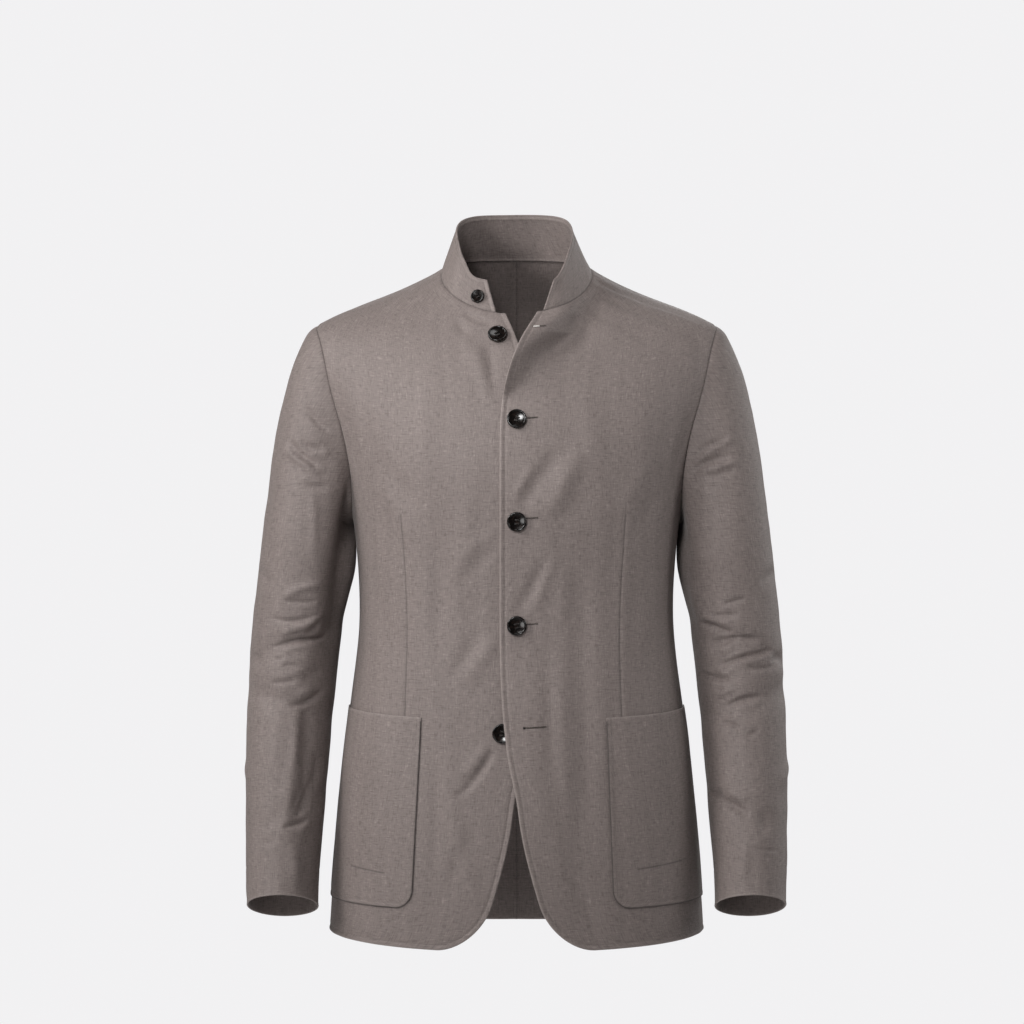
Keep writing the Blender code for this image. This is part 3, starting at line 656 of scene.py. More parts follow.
def makeBack(side):
    first = seamAngles(-1)
    middle = np.full(len(bodyRows), math.pi)
    last = middle - turnFor(cloth["seamGap"] / 2, middle, bodyRows)
    columns = evenColumns(np.array(backCut["seamSteps"]), backCut["columns"])
    angles, runs, arcs, base, out = bodyGrid(bodyRows, first, last, columns, body["samples"])
    sewn = evenLine(np.concatenate([base[:, 0], base[-1], base[::-1, -1]]), cloth["seamStep"])
    ditch = evenLines((base[: lastHoleRow - 1, 0], base[-1], base[:, -1]), cloth["seamStep"])
    hem = evenLine(base[0], cloth["fineStep"])
    sewnGap, ditchGap, freeGap = gapTo(base, sewn), gapTo(base, ditch), gapTo(base, hem)
    swell = creases(base[..., 0], base[..., 2], backCut["creases"][side])
    swell = (swell + bodyRipple(signOf[side] * angles, runs)) * softStep(sewnGap / cloth["heldReach"])
    swell = swell + seamShape(ditchGap, runs + arcs) * softStep(sewnGap / cloth["seamStart"])
    swell = swell + hemPuff(freeGap)
    roundness = np.zeros(angles.shape)
    roundness[0] = 1
    outer = base + out * swell[..., None]
    grain = np.stack([arcs - arcs[:, -1:], runs], axis=-1)
    marks = marksOf(freeGap, ditchGap)
    name = f"back_{side}_cloth"
    return clothShell(name, outer, out, cloth["wall"], roundness, grain, marks, side == "right")


backPieces = {side: makeBack(side) for side in sides}
print("backs", [len(o.data.polygons) for o in backPieces.values()])


# patch pockets, on the fronts' own points moved out

pocketCut = {
    "bottom": -0.688, "radius": 0.020, "outerAngle": math.radians(93),
    "innerTop": {"left": 0.0955, "right": 0.1020}, "innerLow": {"left": 0.1030, "right": 0.1120},
    "edgeSteps": (0, 0.0005, 0.0013, 0.0024, 0.0040), "columns": 54, "samples": 120,
    "cornerRows": 14, "underRows": 5, "rows": 52,
    "gape": 0.0016, "gapeReach": 0.045, "gapeRise": (1.5, 0.3),
    "wave": (0.0005, 0.034, 0.052), "waveSeed": 44, "waveStart": 0.012,  # height and cells
    "rim": (0.00035, 0.0022, 0.0016), "dent": (0.00030, 0.0048, 0.0010),  # height, place, width
    # hem of the bag showing through: in, along, up
    "innerLine": {"left": (0.0235, 0.0800, 0.0385), "right": (0.0290, 0.0620, 0.0340)},
    "lineBand": (0.003, 0.008), "lineRows": 20, "lineSlope": 0.09, "lineEnds": (0.004, 0.008),
    "lineStep": 0.0004, "lineSoft": 0.0012, "lineHalf": 0.0003, "lineSpread": 0.6,
    # painted shade: full over a narrow band at the rim, kept clear of the mouth, and made stronger on the
    # pockets
    "rimShadeBand": 0.0002, "mouthClear": 0.004, "shade": 1.4, "grainShift": 0.9,
}
pockets = {}


def makePocket(side):
    low, top = runAtHeight(pocketCut["bottom"]), runOf["pocket"]
    steps = np.array(pocketCut["edgeSteps"])
    arc = np.linspace(math.pi / 2, 0, pocketCut["cornerRows"] + 1)
    corner = runAtHeight(pocketCut["bottom"] + pocketCut["radius"] * (1 - np.sin(arc)))
    away, reach, rise = pocketCut["innerLine"][side]
    below, above = pocketCut["lineBand"]
    lineRows = np.linspace(low + rise - below, low + rise + above, pocketCut["lineRows"])
    plain = np.linspace(lineRows[-1], top - steps[-1], pocketCut["rows"])[1:]
    under = np.linspace(corner[-1], lineRows[0], pocketCut["underRows"])[1:-1]
    rows = np.concatenate([corner, under, lineRows, plain, top - steps[-2::-1]])
    share = (rows - low) / (top - low)
    inner = angleAtWidth(blendOf(pocketCut["innerLow"][side], pocketCut["innerTop"][side], share), rows)
    outerEdge = np.full(len(rows), pocketCut["outerAngle"])
    height = bodyPoint(0, rows)[:, 2] - pocketCut["bottom"]
    roundShare = np.clip(1 - height / pocketCut["radius"], 0, 1)
    inset = pocketCut["radius"] * (1 - np.sqrt(1 - roundShare**2))
    first = inner + turnFor(inset, inner, rows)
    last = outerEdge - turnFor(inset, outerEdge, rows)
    columns = evenColumns(steps, pocketCut["columns"])
    angles, runs, arcs, base, out = bodyGrid(rows, first, last, columns, pocketCut["samples"])
    arcs = arcs - arcs[:, -1:]
    line = evenLine(np.concatenate([base[::-1, 0], base[0], base[:, -1]]), cloth["fineStep"])
    mouth = evenLine(base[-1], cloth["fineStep"])
    sewnGap, mouthGap = gapTo(base, line), gapTo(base, mouth)
    lift = frontSwell(side, angles, runs, base, gapTo(base, fronts[side]["sewn"]))
    lift = lift + cloth["pocketGap"] + cloth["pocketWall"]
    grow, late = pocketCut["gapeRise"]
    gape = pocketCut["gape"] * softStep(sewnGap / pocketCut["gapeReach"])
    lift += gape * softStep((runs - low) / (top - low) * grow - late)
    wave = waveOf(arcs, runs, *pocketCut["wave"], pocketCut["waveSeed"] + len(side))
    lift += wave * softStep(sewnGap / pocketCut["waveStart"])
    rim, rimAt, rimWidth = pocketCut["rim"]
    lift += rim * bell(sewnGap - rimAt, rimWidth)
    dent, dentAt, dentWidth = pocketCut["dent"]
    lift -= dent * bell(sewnGap - dentAt, dentWidth)
    across = arcs - arcs[:, :1]
    level = runs - low - rise - pocketCut["lineSlope"] * (across - away)
    fadeIn, fadeOut = pocketCut["lineEnds"]
    onLine = softStep((across - away) / fadeIn) * softStep((away + reach - across) / fadeOut)
    lift -= pocketCut["lineStep"] * onLine * softStep(0.5 + level / pocketCut["lineSoft"])
    lineGap = np.abs(level - pocketCut["lineHalf"]) + pocketCut["lineHalf"] + (1 - onLine)
    clear = pocketCut["mouthClear"]
    rimGap = np.clip(sewnGap - pocketCut["rimShadeBand"], 0, None) + clear * softStep(1 - mouthGap / clear)
    # painted shade along the bag's hem line and the stitched rim
    marks = marksOf(mouthGap, np.minimum(lineGap * pocketCut["lineSpread"], rimGap))
    marks["paintedSeamShade"] = marks["paintedSeamShade"] * pocketCut["shade"]
    outer = base + out * lift[..., None]
    grain = np.stack([arcs, runs + pocketCut["grainShift"]], axis=-1)
    roundness, name = np.ones(angles.shape), f"pocket_{side}_cloth"
    obj = clothShell(name, outer, out, cloth["pocketWall"], roundness, grain, marks, side == "right")
    pockets[side] = {"base": base, "outer": outer, "out": out, "line": line}
    return obj


pocketPieces = {side: makePocket(side) for side in sides}
print("pockets", [len(o.data.polygons) for o in pocketPieces.values()])


# band collar

collarCut = {
    "endSeam": {"left": 0.0268, "right": 0.0208}, "endTop": {"left": 0.0478, "right": 0.0300},
    "topRing": (-0.0160, 0.0430, 0.0660, 0.0640, 0.0620, 0.0500, 0.06), "topShift": -0.0020,
    # share of the length, share of the height left there
    "ends": [(0, 0.62), (0.014, 0.65), (0.030, 0.78), (0.055, 0.97), (0.10, 1.0), (0.84, 1.0),
             (0.905, 0.90), (0.938, 0.76), (0.955, 0.76), (0.975, 0.81), (1, 0.88)],
    "columns": 170, "endSteps": (0, 0.0008, 0.0022, 0.0045, 0.0075, 0.0105, 0.0130, 0.0155, 0.0185),
    "rows": 16, "lowSteps": (0, 0.012, 0.030, 0.055), "plainTo": 0.80,
    "highSteps": (0.84, 0.865, 0.885, 0.905, 0.93, 0.955, 0.975, 0.99, 1),
    "wave": (0.0012, 1.0, 1.7, 51), "waveStretch": 9, "waveStart": 0.014,
    "tipLean": 0.0022, "tipAlong": (0.93, 0.07), "tipUp": (0.35, 0.65),  # the button end's corner leans in
    "openStart": 0.020, "openFlare": 0.15,
    # pale line inside the collar's edge: wear with a painted highlight
    "edgeShift": 0.0012, "paleLineAt": 0.0020, "paleLineHalf": 0.0003, "grainHeight": 0.05, "grainShift": 2,
}


def collarPoint(lengthShare, heightShare):
    lengthShare, heightShare = np.broadcast_arrays(
        np.asarray(lengthShare, float), np.asarray(heightShare, float))
    spans = []
    for ends, ring in ((collarCut["endSeam"], ringList[-1]), (collarCut["endTop"], collarCut["topRing"])):
        start = math.asin(ends["left"] / ring[3])
        spans.append(blendOf(start, 2 * math.pi - math.asin(ends["right"] / ring[3]), lengthShare))
    seam = bodyPoint(spans[0], neckRun)
    rise = unitOf(seam - bodyPoint(spans[0], neckRun - tinyStep))
    seam = seam + rise * cloth["collarGap"]
    top = ringPoint(spans[1], collarCut["topRing"]) + np.array([collarCut["topShift"], 0, 0])
    kept = heightShare * np.interp(lengthShare, *zip(*collarCut["ends"]))
    return seam + (top - seam) * kept[..., None]


def makeCollar():
    ends, low = np.array(collarCut["endSteps"]), collarCut["lowSteps"]
    plain = np.linspace(ends[-1], 1 - ends[-1], collarCut["columns"])[1:-1]
    along = np.concatenate([ends, plain, 1 - ends[::-1]])
    plain = np.linspace(low[-1], collarCut["plainTo"], collarCut["rows"])[1:]
    length, height = np.meshgrid(along, np.concatenate([low, plain, collarCut["highSteps"]]))
    base = collarPoint(length, height)
    out = surfaceNormal(collarPoint, length, height, smallStep)
    edge = evenLines((base[:, 0], base[-1], base[:, -1]), cloth["fineStep"])
    seam = evenLine(base[0], cloth["fineStep"])
    freeGap, sewnGap = gapTo(base, edge), gapTo(base, seam)
    arcs = np.broadcast_to(lengthAlong(base[0])[None, :], length.shape)
    bend = waveOf(length * collarCut["waveStretch"], height, *collarCut["wave"])
    bend = bend * softStep(sewnGap / collarCut["waveStart"])
    tip = [softStep((share - start) / span) for share, (start, span) in
           ((length, collarCut["tipAlong"]), (height, collarCut["tipUp"]))]
    bend = bend - collarCut["tipLean"] * (tip[0] * tip[1])
    x, y, z = base[0].T
    ahead = np.where(x > 0, openRoll("left", x, z)[0], openRoll("right", -x, z)[0])
    ahead = ahead * softStep(-y / collarCut["openStart"]) * frontCut["openSeam"]
    ahead = ahead * (1 + collarCut["openFlare"] * height)
    swell = bend + edgeShape(freeGap + collarCut["edgeShift"]) + seamShape(sewnGap, arcs)
    roundness = np.ones(length.shape)
    roundness[0] = 0
    roundness[0, 0] = roundness[0, -1] = 0.5
    outer = base + out * swell[..., None] + ahead[..., None] * forward  # as the fronts
    grain = np.stack([arcs, height * collarCut["grainHeight"] + collarCut["grainShift"]], axis=-1)
    # wear with a painted highlight along a line inside the edge; painted shade at the neck seam
    marks = marksOf(np.abs(freeGap - collarCut["paleLineAt"]) + collarCut["paleLineHalf"], sewnGap)
    obj = clothShell("collar_cloth", outer, out, cloth["collarWall"], roundness, grain, marks)
    return obj, {"base": base, "outer": outer, "out": out,
                 "line": np.concatenate([base[:, 0], base[-1, 1:], base[-2::-1, -1]])}


collarPiece, collarGrid = makeCollar()
print("collar", len(collarPiece.data.polygons))


# two-piece sleeves

sleeveCut = {
    # centre x y z, half width, half depth, forward tilt in degrees
    "rings": [
        (0.2310, 0.0020, -0.3110, 0.0508, 0.0660, -3.0),
        (0.2395, 0.0060, -0.3770, 0.0500, 0.0630, 0.0),
        (0.2460, 0.0040, -0.4430, 0.0483, 0.0600, 6.0),
        (0.2500, -0.0080, -0.5090, 0.0462, 0.0575, 11.0),
        (0.2520, -0.0200, -0.5580, 0.0445, 0.0550, 14.0),
        (0.2530, -0.0340, -0.6070, 0.0420, 0.0520, 16.0),
        (0.2540, -0.0490, -0.6560, 0.0395, 0.0490, 18.0),
        (0.2535, -0.0600, -0.6900, 0.0385, 0.0475, 20.0),
    ],
    # height, slant round the arm, width, depth, middle and spread in degrees
    "folds": [
        (-0.405, 0.020, 0.017, 0.0030, 100, 75),
        (-0.470, -0.015, 0.018, 0.0034, 80, 80),
        (-0.585, 0.018, 0.017, 0.0022, 110, 60),
    ],
    "capOut": 0.85, "capStart": 0.55, "capEnd": 0.90, "creaseDepth": {"left": 2.5, "right": 2.0},
    "frontSeam": 140, "backSeam": -100, "wrapFrom": -140, "armRadius": 0.052,
    "bulge": 0.0062, "bulgeAt": -0.325, "bulgeTurn": (178, 28), "bulgeSpan": 0.036,
    # where the front turns to the inner side: edge and hollow, in degrees round the arm and metres
    "turnEdge": {"left": (140, 15, 0.0020), "right": (112, 16, 0.0030)},
    "turnHollow": {"left": (166, 16, -0.0030), "right": (152, 22, -0.0100)},
    "turnTop": (-0.15, 0.08), "turnLow": (-0.47, 0.12), "turnHead": 0.30,
    "capRows": 84, "tubeRows": 180, "topColumns": 104, "underColumns": 44,
    "seamSteps": (0, 0.0005, 0.0012, 0.0024, 0.0042), "seamRadius": 0.050,
    "capSteps": (0, 0.004, 0.010, 0.020, 0.034), "cuffSteps": (0.0040, 0.0024, 0.0012, 0.0005, 0),
    "broadWave": (0.0008, 0.042, 0.036), "fineWave": (0.0003, 0.020, 0.017),
    "waveLean": 0.4, "waveSeed": (60, 10),
    "calmAt": (185, -175), "calmSpread": 45, "calm": 0.75,  # smoother where it lies by the body
    "facing": (0.12, 0.5), "headFade": 0.22, "cuffFade": 0.06, "cuffKeep": (0.4, 0.6),
    "head": (0.0011, 0.011, 0.008), "cuffHem": (0.00025, 0.040, 0.0016),  # height, place, width
    "seamShare": 0.25, "puckerScale": (0.06, 0.4), "seamShadeShift": 0.0007, "grainShift": 3,
    # own-side x z to x z, bow, width, depth in mm, on the side that faces front
    "creases": {
        "right": [
            (172, -200, 196, -352, 0, 10, -1.2),  # inner side of the arm
            (229, -151, 202, -174, 1.2, 4.5, -1.3), (249, -187, 214, -216, 0.6, 5, -2.0),
            (234, -186, 208, -197, 2.9, 4.5, -1.3), (252, -192, 212, -226, 0, 6, 1.4),
            (222, -199, 202, -199, 0, 5, 0.6), (235, -228, 207, -235, 0, 4, 0.7),
            (235, -234, 207, -240, 0, 4, -0.6), (220, -240, 220, -316, 0, 6, 0.8),
            (255, -359, 210, -339, -2.5, 6, 1.2), (253, -361, 219, -360, 2.7, 3, -1.4),
            (269, -378, 214, -373, 4.9, 3.2, -1.3), (259, -396, 210, -372, 2.4, 6, 1.4),
            (230, -396, 215, -382, 0, 4.5, -1.5), (265, -409, 206, -397, 0.2, 3, -2.0),
            (235, -403, 204, -397, 1.1, 2.5, -1.2), (256, -416, 211, -408, -0.7, 5, 1.0),
            (265, -424, 252, -422, 0, 2.5, -0.9), (254, -429, 237, -435, 0, 2.6, -1.0),
            (252, -440, 228, -441, 0, 5, 0.9), (269, -448, 239, -449, -1.0, 3.4, -1.1),
            (233, -444, 212, -439, 0, 6, -0.9), (239, -462, 220, -456, 0, 5, 0.9),
            (247, -473, 211, -459, 3.4, 4, -2.0), (239, -468, 250, -609, -3.9, 9, 1.3),
            (229, -472, 239, -602, -3.9, 10, -1.6), (235, -535, 236, -572, 0, 5, 0.8),
            (217, -524, 239, -589, -7.0, 6, -1.6), (228, -565, 241, -591, 0, 4.5, 1.2),
            (250, -603, 224, -596, 0.9, 3.5, -2.0), (235, -611, 222, -602, 0, 5, 0.8),
            (238, -620, 236, -679, 0, 7, 1.0), (278, -622, 254, -615, 0, 6, -0.6),
        ],
        "left": [
            (167, -200, 193, -350, 1, 10, -1.2),
            (197, -196, 227, -184, 0.5, 3.2, -1.3), (191, -221, 232, -203, 4.0, 4, -1.7),
            (194, -211, 238, -181, 2.3, 4.5, 1.0), (196, -223, 243, -205, -2.2, 4.5, 1.2),
            (205, -229, 238, -218, 0, 5, -0.8), (204, -238, 217, -238, 0, 2.6, -0.7),
            (225, -365, 250, -359, -0.3, 2.8, -1.2), (212, -377, 242, -375, 0.6, 3, -1.1),
            (200, -384, 235, -394, -0.5, 3.8, -1.9), (203, -378, 236, -385, 0.8, 4.5, 1.0),
            (209, -407, 262, -400, 1.7, 3.4, -1.4), (244, -401, 264, -401, 0, 5, -0.9),
            (220, -418, 236, -409, 0, 5, 1.1), (219, -432, 276, -412, 0.2, 3.4, -2.1),
            (237, -433, 279, -419, 1.4, 5, 0.9), (250, -434, 283, -431, 0.0, 2.8, -1.2),
            (201, -442, 232, -448, -0.7, 3.4, -1.8), (214, -436, 235, -441, 0, 4.5, 1.2),
            (218, -458, 228, -458, 0, 2.4, -1.1), (219, -463, 237, -455, 0, 4, 0.9),
            (228, -475, 266, -462, 2.4, 3, -1.7), (237, -478, 268, -469, 0, 5, 0.8),
            (223, -494, 243, -507, 5.4, 3, -1.6), (225, -488, 240, -491, 0, 5, 0.9),
            (250, -508, 264, -502, 0, 4, -0.8), (219, -576, 251, -592, 2.0, 5.5, -1.6),
            (227, -565, 249, -576, 0, 7, 1.0), (272, -583, 264, -611, 0, 9, -1.0),
            (250, -625, 283, -630, 0.0, 1.8, -0.7), (244, -617, 242, -668, 0, 6, 0.8),
            (211, -573, 223, -570, 0, 5, -1.5),
        ],
        "behind": [  # both arms, the side that faces back: turn in degrees and z in mm
            (-40, -170, -90, -210, 2, 7, -1.5), (-50, -200, -110, -226, 2, 7, 1.1),
            (-40, -300, -100, -318, 3, 9, -1.2), (-30, -356, -120, -372, 4, 6, -2.0),
            (-40, -380, -120, -388, 3, 7, 1.5), (-30, -402, -125, -398, 3, 6, -2.2),
            (-50, -428, -130, -420, 3, 6, -1.8), (-40, -446, -120, -440, 2, 7, 1.3),
            (-40, -470, -110, -480, 2, 7, -1.4), (-70, -520, -110, -560, 2, 9, -1.1),
            (-30, -560, -70, -600, 2, 9, 1.0), (-50, -620, -110, -612, 2, 8, -0.9),
            (10, -330, 52, -344, 2, 9, -0.9), (6, -430, 50, -424, 2, 8, -1.2),
            (0, -540, 40, -560, 2, 10, 0.9),
        ],
    },
}
tubeCentres = np.array(sleeveCut["rings"])[:, :3]
tubeStations = lengthAlong(tubeCentres)
tubeLength = tubeStations[-1]
tubeStations = tubeStations / tubeLength


def foldDepth(turn, z):
    depth = np.zeros_like(z)
    for height, slant, width, deep, middle, spread in sleeveCut["folds"]:
        away = (np.degrees(turn) - middle + 180) % 360 - 180
        across = (z - height - slant * away / spread) / width
        depth -= deep * (1 - across**2) * bell(across) * bell(away, spread)
    return depth


def tubePoint(turn, share):
    turn, share = np.broadcast_arrays(np.asarray(turn, float), np.asarray(share, float))
    x, y, z, halfWidth, halfDepth, tilt = (
        throughPoints(tubeStations, column, share) for column in zip(*sleeveCut["rings"]))
    depth = -halfDepth * np.sin(turn)
    tilt = np.radians(tilt)
    points = np.stack(
        [x + halfWidth * np.cos(turn), y + depth * np.cos(tilt), z - depth * np.sin(tilt)], axis=-1)
    out = np.stack([np.cos(turn), -np.sin(turn), np.zeros_like(turn)], axis=-1)
    return points + out * foldDepth(turn, points[..., 2])[..., None]


def armholeFrame(turn):
    point = bodyPoint(*armhole(turn))
    along = bodyPoint(*armhole(turn + smallStep)) - bodyPoint(*armhole(turn - smallStep))
    out = bodyNormal(*armhole(turn))
    return point, out, unitOf(np.cross(out, along))


def sleevePoint(turn, run):  # 0 to 1 over the cap, 1 to 2 from the biceps to the cuff
    turn, run = np.broadcast_arrays(np.asarray(turn, float), np.asarray(run, float))
    s = np.clip(run, 0, 1)[..., None]
    point, out, across = armholeFrame(turn)
    start = point + unitOf(out + across) * cloth["armholeGap"]
    end = tubePoint(turn, 0)
    length = np.linalg.norm(end - start, axis=-1, keepdims=True)
    away = sleeveCut["capOut"] * np.abs(np.cos(turn / 2))  # the same on both sides of the back seam
    leave = np.stack([away, np.zeros_like(away), -np.sqrt(1 - away**2)], axis=-1)
    arrive = unitOf(tubePoint(turn, smallStep) - end)
    cap = (
        start * (1 + 2 * s) * (1 - s) ** 2
        + leave * length * sleeveCut["capStart"] * s * (1 - s) ** 2
        + end * s * s * (3 - 2 * s)
        + arrive * length * sleeveCut["capEnd"] * s * s * (s - 1)
    )
    return np.where(run[..., None] < 1, cap, tubePoint(turn, np.clip(run - 1, 0, None)))


def sleeveSwell(side, turn, run, points, out):
    degrees = (np.degrees(turn) - sleeveCut["wrapFrom"]) % 360 + sleeveCut["wrapFrom"]
    arc = np.radians(degrees) * sleeveCut["armRadius"]
    x, z = points[..., 0], points[..., 2]
    scale = 1000 * sleeveCut["armRadius"]
    behind = [(math.radians(a) * scale, z0, math.radians(b) * scale, z1, bow, width, depth)
              for a, z0, b, z1, bow, width, depth in sleeveCut["creases"]["behind"]]
    firstSeed, seedStep = sleeveCut["waveSeed"]
    seed = firstSeed + seedStep * len(side)
    wave = sleeveCut["creaseDepth"][side] * creases(arc, z, behind)
    wave += waveOf(arc, z, *sleeveCut["broadWave"], seed)
    wave += waveOf(arc + sleeveCut["waveLean"] * z, z, *sleeveCut["fineWave"], seed + 1)
    toBody = sum(bell(degrees - at, sleeveCut["calmSpread"]) for at in sleeveCut["calmAt"])
    wave = wave * (1 - sleeveCut["calm"] * np.clip(toBody, 0, 1))
    start, span = sleeveCut["facing"]
    facing = softStep((start - out[..., 1]) / span)
    wave += sleeveCut["creaseDepth"][side] * creases(x, z, sleeveCut["creases"][side]) * facing
    middle, spread = sleeveCut["bulgeTurn"]
    bulge = bell(degrees - middle, spread) * bell(z - sleeveCut["bulgeAt"], sleeveCut["bulgeSpan"])
    least, rest = sleeveCut["cuffKeep"]
    toCuff = least + rest * softStep((2 - run) / sleeveCut["cuffFade"])
    wave = wave * softStep(run / sleeveCut["headFade"]) * toCuff
    inward = np.zeros_like(z)
    for middle, spread, depth in (sleeveCut["turnEdge"][side], sleeveCut["turnHollow"][side]):
        inward += depth * bell(degrees - middle, spread)
    (top, topFade), (low, lowFade) = sleeveCut["turnTop"], sleeveCut["turnLow"]
    inward = inward * softStep((top - z) / topFade) * softStep((z - low) / lowFade)
    return wave + sleeveCut["bulge"] * bulge + inward * softStep(run / sleeveCut["turnHead"])


def makeSleeve(side, part):
    gap = cloth["seamGap"] / 2 / sleeveCut["rings"][0][3]
    low, high = math.radians(sleeveCut["backSeam"]), math.radians(sleeveCut["frontSeam"])
    if part == "under":
        low, high = high, low + 2 * math.pi
    steps = np.array(sleeveCut["seamSteps"]) / sleeveCut["seamRadius"]
    turns = np.concatenate([
        low + gap + steps,
        np.linspace(low + steps[-1], high - steps[-1], sleeveCut[part + "Columns"])[1:-1],
        high - gap - steps[::-1],
    ])
    capSteps = np.array(sleeveCut["capSteps"])
    cuffSteps = np.array(sleeveCut["cuffSteps"]) / tubeLength
    runs = np.concatenate([
        capSteps, np.linspace(capSteps[-1], 1, sleeveCut["capRows"])[1:-1],
        np.linspace(1, 2 - cuffSteps[0], sleeveCut["tubeRows"]), 2 - cuffSteps[1:],
    ])
    turn, run = np.meshgrid(turns, runs)
    base = sleevePoint(turn, run)
    out = surfaceNormal(sleevePoint, turn, np.maximum(run, tinyStep))
    across = armholeFrame(turn[0])[2]
    inward = -out[0]
    inward = unitOf(inward - np.minimum((inward * across).sum(axis=-1, keepdims=True), 0) * across)
    out[0] = -inward
    hole, cuff = evenLine(base[0], cloth["seamStep"]), evenLine(base[-1], cloth["fineStep"])
    seams = evenLines((base[:, 0], base[:, -1]), cloth["seamStep"])
    holeGap, seamGap, cuffGap = gapTo(base, hole), gapTo(base, seams), gapTo(base, cuff)
    swell = sleeveSwell(side, turn, run, base, out)
    headScale, seamScale = sleeveCut["puckerScale"]
    alongSeams = sleeveCut["seamShare"] * seamShape(seamGap, run * seamScale)
    swell += seamShape(holeGap, turn * headScale) + alongSeams
    head, headAt, headWidth = sleeveCut["head"]
    swell += head * bell(holeGap - headAt, headWidth) * np.clip(np.cos(turn), 0, 1)
    swell += hemPuff(cuffGap)
    hem, hemAt, hemWidth = sleeveCut["cuffHem"]
    swell -= hem * bell(cuffGap - hemAt, hemWidth)
    roundness = np.zeros(turn.shape)
    roundness[-1] = 1
    outer = base + out * swell[..., None]
    grain = np.stack([turn * sleeveCut["armRadius"] + sleeveCut["grainShift"], -base[..., 2]], axis=-1)
    # painted shade along the armhole and the sleeve seams; the pale cuff edge is wear with a painted
    # highlight
    marks = marksOf(cuffGap, np.minimum(holeGap, seamGap + sleeveCut["seamShadeShift"]))
    name = f"sleeve_{side}_{part}_cloth"
    return clothShell(name, outer, out, cloth["wall"], roundness, grain, marks, side == "right")


parts = ("top", "under")
sleevePieces = {(side, part): makeSleeve(side, part) for side in sides for part in parts}
print("sleeves", [len(o.data.polygons) for o in sleevePieces.values()])


# buttons of dark horn

buttonCut = {
    "front": {"across": 0.0210, "rim": 0.0038, "middle": 0.0018, "rimWidth": 0.0025,
              "hole": 0.0019, "spread": 0.0020},
    "collar": {"across": 0.0150, "rim": 0.0030, "middle": 0.0019, "rimWidth": 0.0020,
               "hole": 0.0015, "spread": 0.0015},
    "sides": 64, "holeSides": 14, "sharpFrom": math.radians(42),
    # outline as shares of the radius and of the rim
    "foot": ((0, 0), (0.80, 0), (0.93, 0.12), (0.99, 0.34)), "rimFoot": 0.66, "rimRound": 0.34,
    "rimSteps": 8, "bowlSteps": 10, "bowlDip": 0.0003,
    "threadWidth": 0.00075, "threadSides": 8, "threadSteps": 12, "strands": (-0.45, 0.45),
    "threadArch": 0.0009, "threadDip": 0.0010, "threadReach": 1.02,
    # height and twist, or own-side width, height and twist
    "fastened": {
        "button_chest": (-0.166, -0.35), "button_middle": (-0.274, 0), "button_waist": (-0.385, 0.35)},
    "open": {"button_neck": (0.0205, -0.075, 0.6), "button_low": (0.0155, -0.500, -0.2)},
    "collarSetback": 0.0152, "collarHeight": 0.385, "collarTwist": 0.5,
}


def buttonProfile(size):
    radius, rim, half = size["across"] / 2, size["rim"], size["rimWidth"] / 2
    foot, rounded, bowl = buttonCut["rimFoot"], buttonCut["rimRound"], buttonCut["bowlSteps"]
    shape = [(radius * across, rim * up) for across, up in buttonCut["foot"]]
    for k in range(buttonCut["rimSteps"] + 1):  # round over the rim
        turn = math.pi * k / buttonCut["rimSteps"]
        shape.append((radius - half + half * math.cos(turn), rim * foot + rim * rounded * math.sin(turn)))
    for k in range(1, bowl + 1):  # bowl inside it
        share = 1 - k / bowl
        low = size["middle"] - buttonCut["bowlDip"]
        shape.append(((radius - size["rimWidth"]) * share, blendOf(low, rim * foot, share**2)))
    return shape


def placedMesh(name, mesh, place, out, twist=0.0):
    turn = Vector(out).to_track_quat("Z", "Y").to_matrix().to_4x4()
    mesh.transform(Matrix.Translation(place) @ turn @ Matrix.Rotation(twist, 4, "Z"))
    return linked(name, mesh)


def turnedMesh(name, profile):
    shape = bmesh.new()
    points = [shape.verts.new((radius, 0, height)) for radius, height in profile]
    edges = [shape.edges.new(pair) for pair in zip(points, points[1:])]
    bmesh.ops.spin(
        shape, geom=points + edges, cent=(0, 0, 0), axis=(0, 0, 1),
        angle=2 * math.pi, steps=buttonCut["sides"])
    bmesh.ops.remove_doubles(shape, verts=shape.verts, dist=1e-6)
    bmesh.ops.recalc_face_normals(shape, faces=shape.faces)
    return meshFrom(name, shape)


def holePins(size):
    shape = bmesh.new()
    for k in range(4):
        turn = math.pi / 2 * (k + 0.5)
        reach = size["spread"] * math.sqrt(2)
        place = Matrix.Translation((reach * math.cos(turn), reach * math.sin(turn), 0))
        bmesh.ops.create_cone(
            shape, cap_ends=True, segments=buttonCut["holeSides"], radius1=size["hole"] / 2,
            radius2=size["hole"] / 2, depth=4 * size["rim"], matrix=place)
    return linked("pins", meshFrom("pins", shape))


def bakedMesh(obj):  # what the modifiers make, as a plain mesh
    made = bpy.data.meshes.new_from_object(obj.evaluated_get(bpy.context.evaluated_depsgraph_get()))
    obj.modifiers.clear()
    return made


def makeButton(name, size, place, out, twist):
    blank = linked("blank", turnedMesh("blank", buttonProfile(size)))
    pins = holePins(size)
    cut = blank.modifiers.new("holes", "BOOLEAN")
    cut.operation, cut.object, cut.solver = "DIFFERENCE", pins, "EXACT"
    mesh = bakedMesh(blank)
    for scrap in (blank, pins):
        bpy.data.objects.remove(scrap)
    mesh.name = name + "_horn"
    mesh.shade_smooth()
    mesh.set_sharp_from_angle(angle=buttonCut["sharpFrom"])
    return placedMesh(name + "_horn", mesh, place, out, twist)


def loftRings(shape, rings):  # walls between rings of points, closed at both ends
    for near, far in zip(rings, rings[1:]):
        for k in range(len(near)):
            after = (k + 1) % len(near)
            shape.faces.new((near[k], near[after], far[after], far[k]))
    shape.faces.new(rings[0][::-1])
    shape.faces.new(rings[-1])


